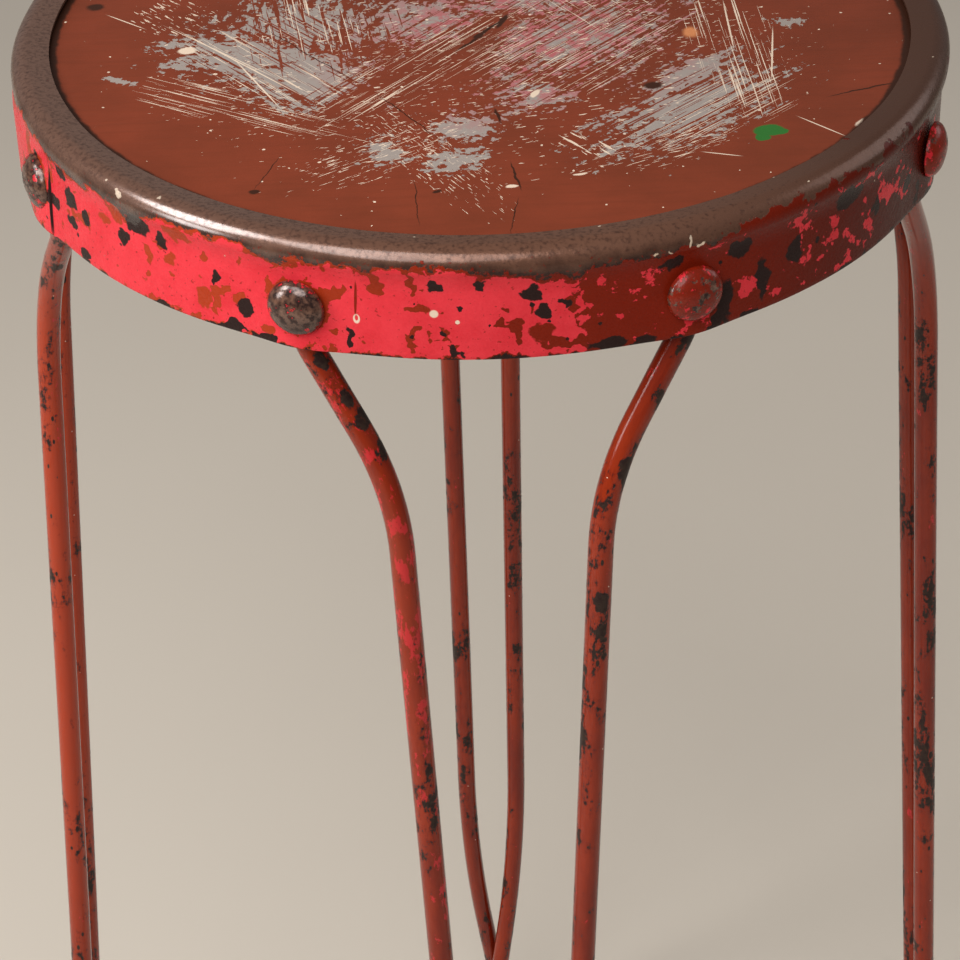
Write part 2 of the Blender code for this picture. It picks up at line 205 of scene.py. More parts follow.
class StoolCamera(bpy.types.PropertyGroup):
    """The camera's place, counted from the middle of the seat."""

    distance: length("Distance", 1152.3, "Camera to the middle of the seat")
    elevation: angle("Elevation", 25.78, "Camera above the seat")
    turn: angle("Turn", -1.107, "Camera round the stool")
    pitch: angle("Pitch", 34.6, "View below the horizon")
    yaw: angle("Yaw", -0.254, "View to the side of the seat")
    roll: angle("Roll", -1.627, "Camera leaning")
    lens: FloatProperty(name="Lens", description="Focal length in millimetres", default=110.8)


def around(azimuth):
    """Unit vector outward at an azimuth counted from the front leg towards +X."""
    return Vector((math.sin(azimuth), -math.cos(azimuth), 0.0))


def arc(centre_x, centre_z, radius, start, end, steps):
    """Points (radius, height) along an arc, angles in degrees."""
    angles = [math.radians(start + (end - start) * step / steps) for step in range(steps + 1)]
    return [(centre_x + radius * math.cos(a), centre_z + radius * math.sin(a)) for a in angles]


def smooth_step(value, low, high):
    """Share from 0 at low to 1 at high, level at both ends."""
    share = min(1.0, max(0.0, (value - low) / (high - low)))
    return share * share * (3 - 2 * share)


def rivet_azimuths():
    """Azimuths of the rivets in the order of the solids, two for each leg."""
    return [math.radians(leg) + side * RIVET_SPREAD for leg in LEG_AZIMUTH.values() for side in (-1, 1)]


def rivet_level():
    """Height of the rivets' axes."""
    return (RIVET_LOW.z + RIVET_HIGH.z) / 2


def roll_centre(sizes):
    """Radius and height of the centre of the band's roll."""
    return sizes.band_radius + sizes.roll_proud - sizes.roll, BAND_HIGH.z - sizes.roll


def rod_middle(sizes):
    """Radius at which the round rod's centre line leaves the band."""
    return sizes.band_radius - sizes.sheet - sizes.rod_clear - sizes.rod / 2


def end_face(sizes):
    """Radius of the outer face of a hammered rod end, clear of the flats of the solid band."""
    wall = (sizes.band_radius - sizes.sheet) * math.cos(math.pi / BAND_FACETS)
    return math.sqrt(wall ** 2 - (sizes.end_width / 2) ** 2) - sizes.gap


def band_bulge(sizes, azimuth, height):
    """How far a rod's end pushes the band out at a place on it."""
    turns = (azimuth - RIVET_SPREAD) / RIVET_PITCH
    off = (turns - round(turns)) * RIVET_PITCH * sizes.band_radius
    rise = smooth_step(BAND_HIGH.z - height, 2.3 * sizes.roll, BAND_HIGH.z - BAND_LOW.z)
    return sizes.bulge * rise * math.exp(-0.5 * (off / sizes.bulge_width) ** 2)


def spun(profile, steps):
    """A closed ring or body of revolution about Z from points (radius, height)."""
    bm = bmesh.new()
    verts = [bm.verts.new((x, 0.0, z)) for x, z in profile]
    edges = [bm.edges.new(pair) for pair in zip(verts, verts[1:])]
    if profile[0][0] > 0.0:
        edges.append(bm.edges.new((verts[-1], verts[0])))
    turn = 2 * math.pi
    bmesh.ops.spin(
        bm, geom=verts + edges, cent=(0, 0, 0), axis=(0, 0, 1), angle=turn, steps=steps, use_merge=True
    )
    bmesh.ops.remove_doubles(bm, verts=bm.verts[:], dist=WELD)
    return bm


def add_piece(name, bm, material, slot, *nodes, crease=40.0):
    """Makes the piece, lets it ride on the stool and stand for its solids."""
    bmesh.ops.recalc_face_normals(bm, faces=bm.faces[:])
    mesh = bpy.data.meshes.new(name)
    bm.to_mesh(mesh)
    bm.free()
    mesh.materials.append(material)
    mesh.shade_smooth()
    mesh.set_sharp_from_angle(angle=math.radians(crease))
    piece = bpy.data.objects.new(name, mesh)
    bpy.context.scene.collection.objects.link(piece)
    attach(piece, "root")
    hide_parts(*nodes)
    return piece


def fill(tree, node, inputs):
    """Fills inputs of a node, given by name or number, with values or links."""
    for key, value in inputs.items():
        if isinstance(key, str):
            socket = next(s for s in node.inputs if s.name == key and s.enabled)
        else:
            socket = node.inputs[key]
        if isinstance(value, bpy.types.NodeSocket):
            tree.links.new(value, socket)
        else:
            socket.default_value = value


def add(tree, kind, *given, **settings):
    """Adds a node with its settings and returns its first output.

    What is given fills its inputs: values or links in their order, or a dictionary of them by name.
    """
    node = tree.nodes.new(kind)
    for option, value in settings.items():
        setattr(node, option, value)
    for number, value in enumerate(given):
        fill(tree, node, value if isinstance(value, dict) else {number: value})
    return next(s for s in node.outputs if s.enabled)


def new_finish(name):
    """A material with its node tree, its shader and the place of a point on the piece."""
    material = bpy.data.materials.new(name)
    material.use_nodes = True
    tree = material.node_tree
    place = add(tree, "ShaderNodeTexCoord").node.outputs["Object"]
    return material, tree, tree.nodes["Principled BSDF"], place


def per_metre(millimetres):
    """Texture scale for a feature of this size on coordinates in metres."""
    return 1.0 / (millimetres * MM)


def spot(tree, place, centre, half, turn=0.0, soft=0.2):
    """Mask of one oval mark on a flat place, with its centre and half sizes in millimetres."""
    local = add(
        tree,
        MAPPING,
        {
            "Vector": place,
            "Location": (centre[0] * MM, centre[1] * MM, 0.0),
            "Rotation": (0.0, 0.0, math.radians(turn)),
            "Scale": (half[0] * MM, half[1] * MM, 1.0),
        },
        vector_type="TEXTURE",
    )
    away = add(tree, VECTOR_MATH, local, operation="LENGTH")
    mask = add(tree, RANGE, away, 1 - soft, 1 + soft, 1.0, 0.0, interpolation_type="SMOOTHSTEP")
    return mask, local, away


def oval_distance(tree, place, centre, half):
    """Distance from a centre, 1 on the rim of an oval with these half sizes, all in millimetres."""
    local = add(
        tree,
        MAPPING,
        {"Vector": place, "Location": tuple(c * MM for c in centre), "Scale": tuple(h * MM for h in half)},
        vector_type="TEXTURE",
    )
    return add(tree, VECTOR_MATH, local, operation="LENGTH")


def region(tree, place, centre, half):
    """Mask of one oval place in space, fading from half way out to its rim."""
    away = oval_distance(tree, place, centre, half)
    return add(tree, RANGE, away, 0.5, 1.0, 1.0, 0.0)


def streaked(tree, local, centre, half, streak, detail):
    """Noise drawn out along one direction, with its own pattern for each centre."""
    stretch = (half[0] / streak[0], half[1] / streak[1], 1.0)
    drawn = add(tree, VECTOR_MATH, local, stretch, (*centre, 0.0), operation="MULTIPLY_ADD")
    options = {"Vector": drawn, "Scale": 1.0, "Detail": detail, "Roughness": 0.62}
    return add(tree, NOISE, options, noise_dimensions="2D")


def scraped(tree, place, centre, half, turn, streak):
    """How far one patch is scraped: most in its middle, least past its rim, split up by streaks."""
    _, local, away = spot(tree, place, centre, half, turn)
    streaks = streaked(tree, local, centre, half, streak, 4.0)
    return add(tree, MATH, away, -0.5, streaks, operation="MULTIPLY_ADD")


def scratches(tree, place, centre, half, turn, stroke, edge):
    """Mask of a bundle of straight scratches: oval, direction, size of one stroke, sparseness."""
    inside, local, _ = spot(tree, place, centre, half, turn, soft=0.5)
    lines = streaked(tree, local, centre, half, stroke, 2.0)
    lines = add(tree, MATH, inside, 0.3, lines, operation="MULTIPLY_ADD")
    return add(tree, MATH, lines, edge, operation="GREATER_THAN")


def most(tree, masks):
    """The largest of several masks at each place."""
    whole = masks[0]
    for mask in masks[1:]:
        whole = add(tree, MATH, whole, mask, operation="MAXIMUM")
    return whole


def common(tree, masks):
    """Where all of several masks are, as their product."""
    whole = masks[0]
    for mask in masks[1:]:
        whole = add(tree, MATH, whole, mask, operation="MULTIPLY")
    return whole


def summed(tree, whole, shares):
    """A value with others added to it, each times its share."""
    for value, share in shares:
        whole = add(tree, MATH, value, share, whole, operation="MULTIPLY_ADD")
    return whole


def from_axis(tree, place):
    """Distance of a place from the seat's axis."""
    flat = add(tree, VECTOR_MATH, place, (1.0, 1.0, 0.0), operation="MULTIPLY")
    return add(tree, VECTOR_MATH, flat, operation="LENGTH")


def wobble(tree, place, millimetres):
    """Noise of this size as a vector from -0.5 to 0.5, which makes outlines ragged."""
    noisy = add(tree, NOISE, {"Vector": place, "Scale": per_metre(millimetres), "Detail": 3.0})
    return add(tree, VECTOR_MATH, noisy.node.outputs["Color"], (0.5, 0.5, 0.5), operation="SUBTRACT")


def chance_cells(tree, place, millimetres, **settings):
    """Cells of this size: distance from the middle of a cell, and a chance of its own for each cell."""
    away = add(tree, CELLS, {"Vector": place, "Scale": per_metre(millimetres)}, **settings)
    return away, add(tree, "ShaderNodeSeparateColor", {"Color": away.node.outputs["Color"]})


def layered(tree, ground, layers):
    """Colour with each layer laid over the one before where its mask is 1."""
    for mask, over in layers:
        ground = add(tree, MIX, {"Factor": mask, "A": ground, "B": over}, data_type="RGBA")
    return ground


def board_finish(colours):
    """Brushed red-brown enamel on a wooden board, scraped through to grey primer by hard use.

    The enamel has a soft gloss. Scraped patches are dull, with straight scratches across them.
    """
    material, tree, shader, place = new_finish("brushed enamel on board, scraped")
    flat = add(tree, VECTOR_MATH, place, (1.0, 1.0, 0.0), operation="MULTIPLY")
    brushed = add(tree, VECTOR_MATH, flat, (0.1, 1.0, 0.0), operation="MULTIPLY")
    brush = add(tree, NOISE, {"Vector": brushed, "Scale": per_metre(3), "Detail": 5.0, "Roughness": 0.6})
    speck = add(tree, NOISE, {"Vector": flat, "Scale": per_metre(3.5), "Detail": 5.0, "Roughness": 0.65})
    island = add(tree, NOISE, {"Vector": flat, "Scale": per_metre(10), "Detail": 4.0, "Roughness": 0.6})
    drift = add(tree, NOISE, {"Vector": flat, "Scale": per_metre(45), "Detail": 4.0, "Roughness": 0.6})
    shift = wobble(tree, flat, 7)
    ragged = add(tree, VECTOR_MATH, shift, (3 * MM, 3 * MM, 0.0), flat, operation="MULTIPLY_ADD")

    # Patches scraped to the primer: centre, half sizes, direction of scraping, streak size
    patches = [
        ((-62, -42), (36, 30), -50, (14, 5)), ((-69, 6), (30, 32), 85, (16, 3)),
        ((-90, -22), (40, 24), -25, (10, 4)), ((-137, -36), (3, 10), 60, (8, 3)),
        ((-22, 4), (26, 30), 60, (12, 3.5)), ((22, 22), (44, 18), 10, (12, 4)),
        ((-30, 62), (46, 22), 30, (16, 3)), ((62, 58), (30, 24), 70, (20, 3)),
        ((-8, -83), (15, 16), -45, (10, 4)), ((-12, -108), (15, 10), 20, (8, 3)),
        ((-37, -100), (9, 14), 10, (8, 3)), ((74, -74), (50, 24), 42, (40, 2.6)),
        ((78, -48), (28, 15), 45, (24, 2.4)), ((38, -12), (52, 34), 48, (36, 2.4)),
        ((19, -60), (18, 16), 30, (10, 4)), ((119, -6), (5, 8), 80, (6, 3)),
    ]
    bare = most(tree, [scraped(tree, flat, *patch) for patch in patches])
    kept, _, _ = spot(tree, ragged, (-32, -46), (62, 8), 50, soft=0.6)
    bare = summed(tree, bare, [(kept, -0.4), (speck, 1.2), (island, 0.8)])
    primer = add(tree, RANGE, bare, 1.17, 1.19)
    # Painted shadow: the enamel is darker in a ring round each scraped patch, as shade of its thick edge
    paint_edge_shadow = add(tree, RANGE, bare, 1.09, 1.16, 0.0, 0.5)
    pink_patch, _, _ = spot(tree, flat, (22, -8), (72, 56), 45, soft=0.5)
    pink_noise = add(tree, NOISE, {"Vector": flat, "Scale": per_metre(7), "Detail": 5.0, "Roughness": 0.7})
    pink_noise = add(tree, RANGE, pink_noise, 0.44, 0.56)
    pink = common(tree, [pink_noise, pink_patch, primer])

    # Bundles of scratches: centre, half sizes, direction, size of one stroke, sparseness
    cream_bundles = [
        ((-92, -60), (60, 17), -31, (44, 0.65), 0.94), ((-84, -30), (52, 24), -53, (48, 0.7), 0.965),
        ((97, -28), (62, 19), 93, (60, 0.6), 0.92), ((-22, -30), (84, 22), 50, (54, 0.6), 0.94),
        ((84, -78), (50, 24), 43, (46, 0.6), 0.94), ((-66, 6), (34, 24), 97, (44, 0.9), 0.95),
        ((35, -100), (15, 9), -52, (12, 1.5), 0.9), ((-36, -100), (48, 20), 35, (8, 0.7), 0.96),
        ((-20, -106), (60, 18), -60, (7, 0.7), 0.97), ((-118, 16), (26, 22), -50, (8, 1.1), 0.96),
        ((36, -20), (62, 42), 47, (44, 0.6), 0.955), ((62, -104), (40, 16), 24, (9, 0.7), 0.96),
        ((20, 60), (84, 42), 120, (36, 0.9), 0.96), ((-60, 74), (64, 38), 32, (32, 0.9), 0.96),
        ((0, -20), (158, 130), 14, (6, 1.2), 0.995),
    ]
    scratched = most(tree, [scratches(tree, flat, *bundle) for bundle in cream_bundles])
    paint_bundles = [
        ((-66, -24), (60, 52), -52, (60, 1.3), 0.91), ((-58, 2), (50, 42), 97, (60, 1.6), 0.9),
        ((36, -18), (64, 42), 47, (70, 1.5), 0.86), ((76, -72), (48, 28), 43, (60, 1.6), 0.87),
        ((-24, -30), (86, 24), 50, (70, 1.3), 0.84),
    ]
    stroked = most(tree, [scratches(tree, flat, *bundle) for bundle in paint_bundles])

    # Single marks: cracks, holes and gouges hold dirt, and dabs of other paint
    dirt_marks = [
        ((-150, 28), (3.4, 3.0), 0), ((62.6, -55), (3.2, 2.8), 0), ((1, -7), (17, 0.8), 55),
        ((-0.8, -8.7), (3.0, 1.6), 50), ((9, 3), (6, 1.2), 70), ((-82.5, -126), (2.2, 1.6), 0),
        ((-78.5, -112), (13, 0.2), 72), ((-26, -137), (15, 0.22), 93), ((9.3, -121), (10, 0.45), 98),
        ((7.5, -149), (12, 0.2), 82), ((4.6, -75), (5.5, 0.6), 100), ((-29, -72), (21, 0.25), -59),
        ((-65, -20), (28, 0.25), -54), ((-18.5, -130), (1.8, 1.0), 20), ((140, -64), (14, 0.5), 20),
    ]
    dirt = most(tree, [spot(tree, ragged, *mark, soft=0.3)[0] for mark in dirt_marks])
    long_scratches = [
        ((-137, 14), (10, 0.3), -41), ((-92, -24), (36, 0.3), -50), ((-84, -43), (21, 0.35), -66),
        ((-100, -14), (30, 0.25), -47), ((95.7, -7), (20, 0.35), 90), ((99.5, 2), (14, 0.3), 92),
        ((109.7, -32), (21, 0.35), 83), ((121, -92), (11, 0.3), -47), ((83, -110), (7, 0.3), -17),
    ]
    green_dabs = [
        ((102, -93.5), (5.8, 4.0), 10), ((98.8, -98.5), (2.6, 3.0), 0), ((106, -94.5), (3.0, 2.4), 0),
    ]
    green = most(tree, [spot(tree, ragged, *dab, soft=0.12)[0] for dab in green_dabs])
    orange, _, _ = spot(tree, ragged, (80.6, -12), (3.0, 4.2), 0, soft=0.4)
    cream_dabs = [
        ((-112, -13), (3.4, 2.6), 20), ((7.4, -128), (2.2, 1.2), 10), ((19, -58), (3.4, 1.2), 60),
        ((136, -90), (4.0, 1.6), 45), ((145, -79), (4.5, 1.0), 50), ((32, -121), (2.4, 0.8), 15),
    ]
    flecks, chance = chance_cells(tree, ragged, 10, voronoi_dimensions="2D")
    reach = add(tree, MATH, chance, 0.2, -0.14, operation="MULTIPLY_ADD")
    fleck = add(tree, MATH, flecks, reach, operation="LESS_THAN")
    cream_marks = [spot(tree, ragged, *dab)[0] for dab in cream_dabs]
    cream_marks += [spot(tree, flat, *line)[0] for line in long_scratches]
    cream = most(tree, [scratched, fleck] + cream_marks)

    dull = add(tree, RANGE, drift, 0.35, 0.65, 0.0, 0.6)
    darkening = add(tree, RANGE, brush, 0.48, 0.7, 0.0, 0.35)
    shades = [(dull, colours.board_shade), (darkening, colours.board_shade)]
    enamel = layered(tree, colours.board_enamel, shades)
    worn = layered(
        tree,
        enamel,
        [
            (paint_edge_shadow, colours.board_shade),
            (primer, colours.primer),
            (pink, colours.old_pink),
            (stroked, enamel),
            (cream, colours.cream),
            (dirt, colours.gouge_and_shadow),
            (green, colours.green_dab),
            (orange, colours.orange_dab),
        ],
    )
    # Painted shadow of the lip: a dark ring round the board's rim, partly dirt along the lip's edge
    clear_of_lip_shadow, _, _ = spot(tree, ragged, (0, 0), (162.2, 162.2), 0, soft=0.005)
    with_lip_shadow = layered(tree, colours.gouge_and_shadow, [(clear_of_lip_shadow, worn)])

    # Underside of the board: bare wood with a fine grain along X
    grain = add(tree, VECTOR_MATH, place, (0.08, 1.0, 1.0), operation="MULTIPLY")
    grain = add(tree, NOISE, {"Vector": grain, "Scale": per_metre(4), "Detail": 6.0, "Roughness": 0.7})
    grain = add(tree, RANGE, grain, 0.35, 0.7)
    wood = layered(tree, colours.board_wood, [(grain, colours.gouge_and_shadow)])
    height = add(tree, "ShaderNodeSeparateXYZ", {"Vector": place}).node.outputs["Z"]
    top = add(tree, RANGE, height, BOARD_HIGH.z - 6 * MM, BOARD_HIGH.z - 4 * MM)
    finish = layered(tree, wood, [(top, with_lip_shadow)])

    open_paint = most(tree, [primer, cream])
    gloss = add(tree, RANGE, open_paint, 0.0, 1.0, 0.42, 0.62)
    relief = summed(tree, 0.0, [(drift, 2.0), (brush, 0.9), (speck, 0.6)])
    bump = add(tree, "ShaderNodeBump", {"Strength": 0.7, "Distance": 0.2 * MM, "Height": relief})
    looks = {"Base Color": finish, "Roughness": gloss, "Specular IOR Level": 0.2, "Normal": bump}
    fill(tree, shader, looks)
    return material


def band_finish(colours, sizes):
    """Two coats of enamel on rolled sheet steel, rubbed through to brown steel on the roll.

    The pinkish top coat is glossy and chipped to the brick red coat below it, and both to dark steel.
    """
    material, tree, shader, place = new_finish("chipped enamel on rolled steel")
    parts = add(tree, "ShaderNodeSeparateXYZ", {"Vector": place}).node.outputs
    back = add(tree, MATH, parts["Y"], -1.0, operation="MULTIPLY")
    azimuth = add(tree, MATH, parts["X"], back, operation="ARCTAN2")
    run = add(tree, MATH, azimuth, sizes.band_radius, operation="MULTIPLY")
    fall = add(tree, MATH, BAND_HIGH.z, parts["Z"], operation="SUBTRACT")
    unrolled = add(tree, "ShaderNodeCombineXYZ", {"X": run, "Y": fall})
    coarse = add(tree, NOISE, {"Vector": place, "Scale": per_metre(20), "Detail": 6.0, "Roughness": 0.62})
    fine = add(tree, NOISE, {"Vector": place, "Scale": per_metre(7), "Detail": 6.0, "Roughness": 0.6})
    tiny = add(tree, NOISE, {"Vector": place, "Scale": per_metre(1.6), "Detail": 4.0, "Roughness": 0.6})
    shift = wobble(tree, place, 5)
    ragged = add(tree, VECTOR_MATH, shift, (5 * MM, 5 * MM, 5 * MM), place, operation="MULTIPLY_ADD")
    ragged_run = add(tree, VECTOR_MATH, shift, (9 * MM, 9 * MM, 0.0), unrolled, operation="MULTIPLY_ADD")

    # Paint reaches up to a ragged line below the roll
    line = summed(tree, fall, [(coarse, -26 * MM), (fine, -10 * MM)])
    higher = add(tree, MATH, azimuth, 0.75, operation="SUBTRACT")
    higher = add(tree, MATH, higher, operation="ABSOLUTE")
    higher = add(tree, RANGE, higher, 0.15, 0.45, 4 * MM, 0.0)
    line = add(tree, MATH, line, higher, operation="ADD")
    painted = add(tree, RANGE, line, -9.6 * MM, -9.2 * MM)
    covered = add(tree, RANGE, line, -8.0 * MM, -7.6 * MM)

    # The top coat ends beside the front right rivet and behind the left leg
    sway = 0.16                 # radians by which noise moves the ends
    edge = summed(tree, azimuth, [(coarse, sway), (fine, sway)])
    before = add(tree, MATH, edge, math.radians(9.5) + sway, operation="LESS_THAN")
    after = add(tree, MATH, edge, math.radians(-160) + sway, operation="GREATER_THAN")
    rubbed = add(tree, NOISE, {"Vector": ragged, "Scale": per_metre(9), "Detail": 2.0, "Roughness": 0.5})
    rubbed = add(tree, MATH, rubbed, 0.63, operation="LESS_THAN")
    kept = common(tree, [before, after, rubbed])
    remnant = add(tree, MATH, coarse, fine, operation="ADD")
    near = add(tree, MATH, azimuth, math.radians(36), operation="SUBTRACT")
    near = add(tree, MATH, near, operation="ABSOLUTE")
    near = add(tree, RANGE, near, 0.0, math.radians(40), 1.04, 1.18)
    remnant = add(tree, MATH, remnant, near, operation="GREATER_THAN")
    kept = most(tree, [kept, remnant])
    top_coat = common(tree, [kept, covered])

    # Large chips to dark steel and to the under coat: azimuth in degrees, fall from the crest, half sizes
    dark_chips = [
        (-59.7, 12.4, 4.6, 3.6), (-58.2, 21.0, 4.6, 4.0), (-63.0, 27.6, 6.4, 3.4), (-58.0, 29.7, 3.0, 2.2),
        (-47.2, 22.8, 2.4, 2.6), (-44.2, 13.8, 5.4, 4.0), (-40.7, 15.9, 2.6, 3.4), (-33.0, 23.3, 1.8, 2.8),
        (-29.2, 32.4, 2.8, 3.2), (-16.7, 36.5, 1.2, 3.2), (-6.6, 14.1, 2.4, 2.6), (-2.0, 13.4, 1.8, 2.4),
        (3.8, 17.8, 3.3, 3.4), (5.1, 24.7, 2.4, 3.2), (7.5, 22.4, 1.8, 1.8), (-4.5, 40.5, 2.2, 2.6),
        (12.5, 41.5, 7.0, 2.4), (17.0, 42.0, 3.0, 2.0), (19.6, 14.0, 5.0, 2.6), (26.2, 34.5, 4.6, 9.0),
        (28.5, 15.0, 5.0, 4.0), (31.7, 31.0, 2.6, 8.0), (36.8, 25.0, 3.6, 5.0), (45.5, 14.0, 8.0, 4.0),
        (51.5, 26.7, 3.0, 4.0),
    ]
    brick_chips = [
        (-38.0, 10.5, 7.0, 3.0), (-48.0, 13.5, 3.6, 4.0), (-34.8, 32.8, 3.6, 4.0), (-39.4, 22.4, 2.6, 3.4),
        (-8.6, 23.3, 4.0, 2.4), (5.1, 33.6, 5.0, 3.0), (2.0, 30.0, 2.6, 2.0), (-66.0, 20.0, 3.0, 6.0),
        (-50.5, 18.5, 3.4, 3.0), (-43.0, 24.5, 2.2, 3.2), (-70.5, 14.0, 3.0, 6.0), (-74.0, 30.0, 2.4, 7.0),
    ]
    degree = math.radians(1.0) * sizes.band_radius / MM     # millimetres along the band
    large, worn_through = [
        most(tree, [spot(tree, ragged_run, (a * degree, f), (w, h), soft=0.1)[0] for a, f, w, h in chips])
        for chips in (dark_chips, brick_chips)
    ]

    # Smaller chips: blobs of unlike size, larger on the worn right side, and along the lower edge
    blobs, chance = chance_cells(tree, ragged, 13)
    to_side = add(tree, MATH, azimuth, operation="ABSOLUTE")
    worn_side = add(tree, RANGE, to_side, 0.3, 0.9, 0.76, 0.63)
    reach = add(tree, MATH, chance, worn_side, operation="SUBTRACT")
    below_edge = add(tree, MATH, parts["Z"], BAND_LOW.z, operation="SUBTRACT")
    low_edge = add(tree, RANGE, below_edge, 0.0, 6 * MM, 0.5, 0.0)
    low_edge = add(tree, MATH, low_edge, fine, operation="MULTIPLY")
    reach = add(tree, MATH, reach, low_edge, operation="ADD")
    chipped = add(tree, MATH, blobs, reach, operation="LESS_THAN")
    nicks, nick_chance = chance_cells(tree, ragged, 6)
    nick_reach = add(tree, MATH, nick_chance, 0.8, operation="SUBTRACT")
    nicked = add(tree, MATH, nicks, nick_reach, operation="LESS_THAN")
    edge_wear = add(tree, MATH, fine, -14 * MM, below_edge, operation="MULTIPLY_ADD")
    edge_dark = add(tree, MATH, edge_wear, -6.9 * MM, operation="LESS_THAN")
    edge_brick = add(tree, MATH, edge_wear, -6.2 * MM, operation="LESS_THAN")
    chipped = most(tree, [chipped, nicked, edge_dark])
    chipped = common(tree, [chipped, painted])

    # A ring worn round each rivet
    from_rivet = add(tree, MATH, azimuth, RIVET_SPREAD, operation="SUBTRACT")
    from_rivet = add(tree, MATH, from_rivet, RIVET_SPREAD, -RIVET_SPREAD, operation="WRAP")
    beside = add(tree, MATH, from_rivet, sizes.band_radius, operation="MULTIPLY")
    below = add(tree, MATH, parts["Z"], rivet_level(), operation="SUBTRACT")
    offset = add(tree, "ShaderNodeCombineXYZ", {"X": beside, "Y": below})
    ring = add(tree, VECTOR_MATH, offset, operation="LENGTH")
    ring = add(tree, MATH, fine, 16 * MM, ring, operation="MULTIPLY_ADD")
    ring = add(tree, MATH, ring, sizes.rivet_head / 2 + 8.6 * MM, operation="LESS_THAN")

    # The inside of the band, painted with the under coat
    inner_wall = sizes.band_radius - 0.7 * sizes.sheet
    inside = add(tree, MATH, from_axis(tree, place), inner_wall, operation="LESS_THAN")
    under_lip = add(tree, MATH, fall, sizes.roll, operation="GREATER_THAN")
    inside = common(tree, [inside, under_lip])

    # Steel: rubbed bright on the roll, darker towards the paint, mottled, and darker on the right side as
    # painted shade
    rub = add(tree, MATH, coarse, -16 * MM, fall, operation="MULTIPLY_ADD")
    dark = add(tree, RANGE, rub, -5 * MM, 0.0, 0.0, 0.9)
    mottle = add(tree, RANGE, tiny, 0.46, 0.68, 0.0, 0.6)
    shaded_side = add(tree, RANGE, azimuth, 0.2, 0.9, 0.0, 0.55)
    dark = most(tree, [dark, mottle, shaded_side])
    steel = layered(tree, colours.steel, [(dark, colours.dark_steel_and_shade)])
    crumbs = add(tree, MATH, rub, 25.0, tiny, operation="MULTIPLY_ADD")
    crumbs = add(tree, RANGE, crumbs, 0.57, 0.59, 0.0, 0.8)
    steel = layered(tree, steel, [(crumbs, colours.under_coat)])
    # Painted light and shade on the brick coat: a lit copy of it towards the left, a shaded copy towards
    # the right
    shaded = add(tree, RANGE, azimuth, 0.4, 1.0, 0.0, 0.8)
    light_from_left = add(tree, RANGE, azimuth, -0.5, 0.0, 0.85, 0.0)
    brick = layered(
        tree,
        colours.under_coat,
        [
            (coarse, colours.rod_shade),
            (light_from_left, colours.under_coat_lit),
            (shaded, colours.under_coat_shaded),
        ],
    )

    # White marks: specks, scuffs, a ring at the foot of a drip, and flecks along the paint line
    specks = [((-21.4, 25.0), (1.5, 1.5), 0), ((-13.4, 28.2), (0.8, 0.8), 0)]
    scuffs = [
        ((-146, 4.5), (1.7, 1.1), 20), ((55, 8.6), (1.6, 0.5), 10), ((61, 8.0), (1.2, 0.5), 30),
        ((68, 6.5), (1.5, 0.7), 60), ((72, 6.8), (1.0, 0.5), 0),
    ]
    white_marks = [spot(tree, unrolled, *mark)[0] for mark in specks]
    white_marks += [spot(tree, ragged_run, *scuff)[0] for scuff in scuffs]
    drip, _, _ = spot(tree, unrolled, (-48.5, 21.0), (0.5, 7.0), 3)
    ring_out, _, _ = spot(tree, unrolled, (-48.5, 29.0), (1.2, 1.8), 0)
    ring_in, _, _ = spot(tree, unrolled, (-48.5, 28.6), (0.6, 1.1), 0)
    drip_ring = add(tree, MATH, ring_out, ring_in, operation="SUBTRACT")
    fleck_cells = add(tree, CELLS, {"Vector": ragged, "Scale": per_metre(12)})
    at_line = add(tree, RANGE, fall, 12 * MM, 20 * MM, 0.05, 0.015)
    fleck = add(tree, MATH, fleck_cells, at_line, operation="LESS_THAN")
    white = most(tree, white_marks + [drip_ring, fleck])

    # Colour of each layer, and the layers one over the other
    seam, _, _ = spot(tree, unrolled, (-63.4 * degree, 28.0), (0.6, 17.0), soft=0.4)
    faded = add(tree, NOISE, {"Vector": place, "Scale": per_metre(16), "Detail": 6.0, "Roughness": 0.7})
    faded = add(tree, RANGE, faded, 0.42, 0.66, 0.0, 0.75)
    speckled = add(tree, RANGE, tiny, 0.64, 0.67, 0.0, 0.8)
    red = layered(
        tree,
        colours.top_coat,
        [(faded, colours.top_coat_faded), (speckled, colours.under_coat), (edge_brick, brick)],
    )
    paint = layered(
        tree,
        steel,
        [
            (painted, brick),
            (top_coat, red),
            (drip, colours.under_coat),
            (ring, brick),
            (worn_through, brick),
            (chipped, colours.dark_steel_and_shade),
            (large, colours.dark_steel_and_shade),
            (seam, colours.dark_steel_and_shade),
            (inside, brick),
            (white, colours.cream),
        ],
    )

    cover = most(tree, [painted, inside])
    bare = add(tree, MATH, 1.0, cover, operation="SUBTRACT")
    metal = add(tree, RANGE, bare, 0.0, 1.0, 0.0, 0.35)
    rubbed_bright = add(tree, RANGE, dark, 0.0, 1.0, 1.0, 0.3)
    rubbed_side = add(tree, RANGE, azimuth, -0.6, -0.05, 1.0, 0.15)
    polish = common(tree, [bare, rubbed_bright, rubbed_side])
    gloss = add(tree, RANGE, tiny, 0.3, 0.7, 0.2, 0.36)
    relief = summed(tree, painted, [(top_coat, 1.0), (chipped, -1.4), (tiny, 0.5), (coarse, 1.5)])
    bump = add(tree, "ShaderNodeBump", {"Strength": 0.8, "Distance": 0.25 * MM, "Height": relief})
    looks = {
        "Base Color": paint,
        "Metallic": metal,
        "Roughness": gloss,
        "Specular IOR Level": 0.1,
        "Coat Weight": polish,
        "Coat Roughness": 0.18,
        "Coat IOR": 2.0,
        "Normal": bump,
    }
    fill(tree, shader, looks)
    return material


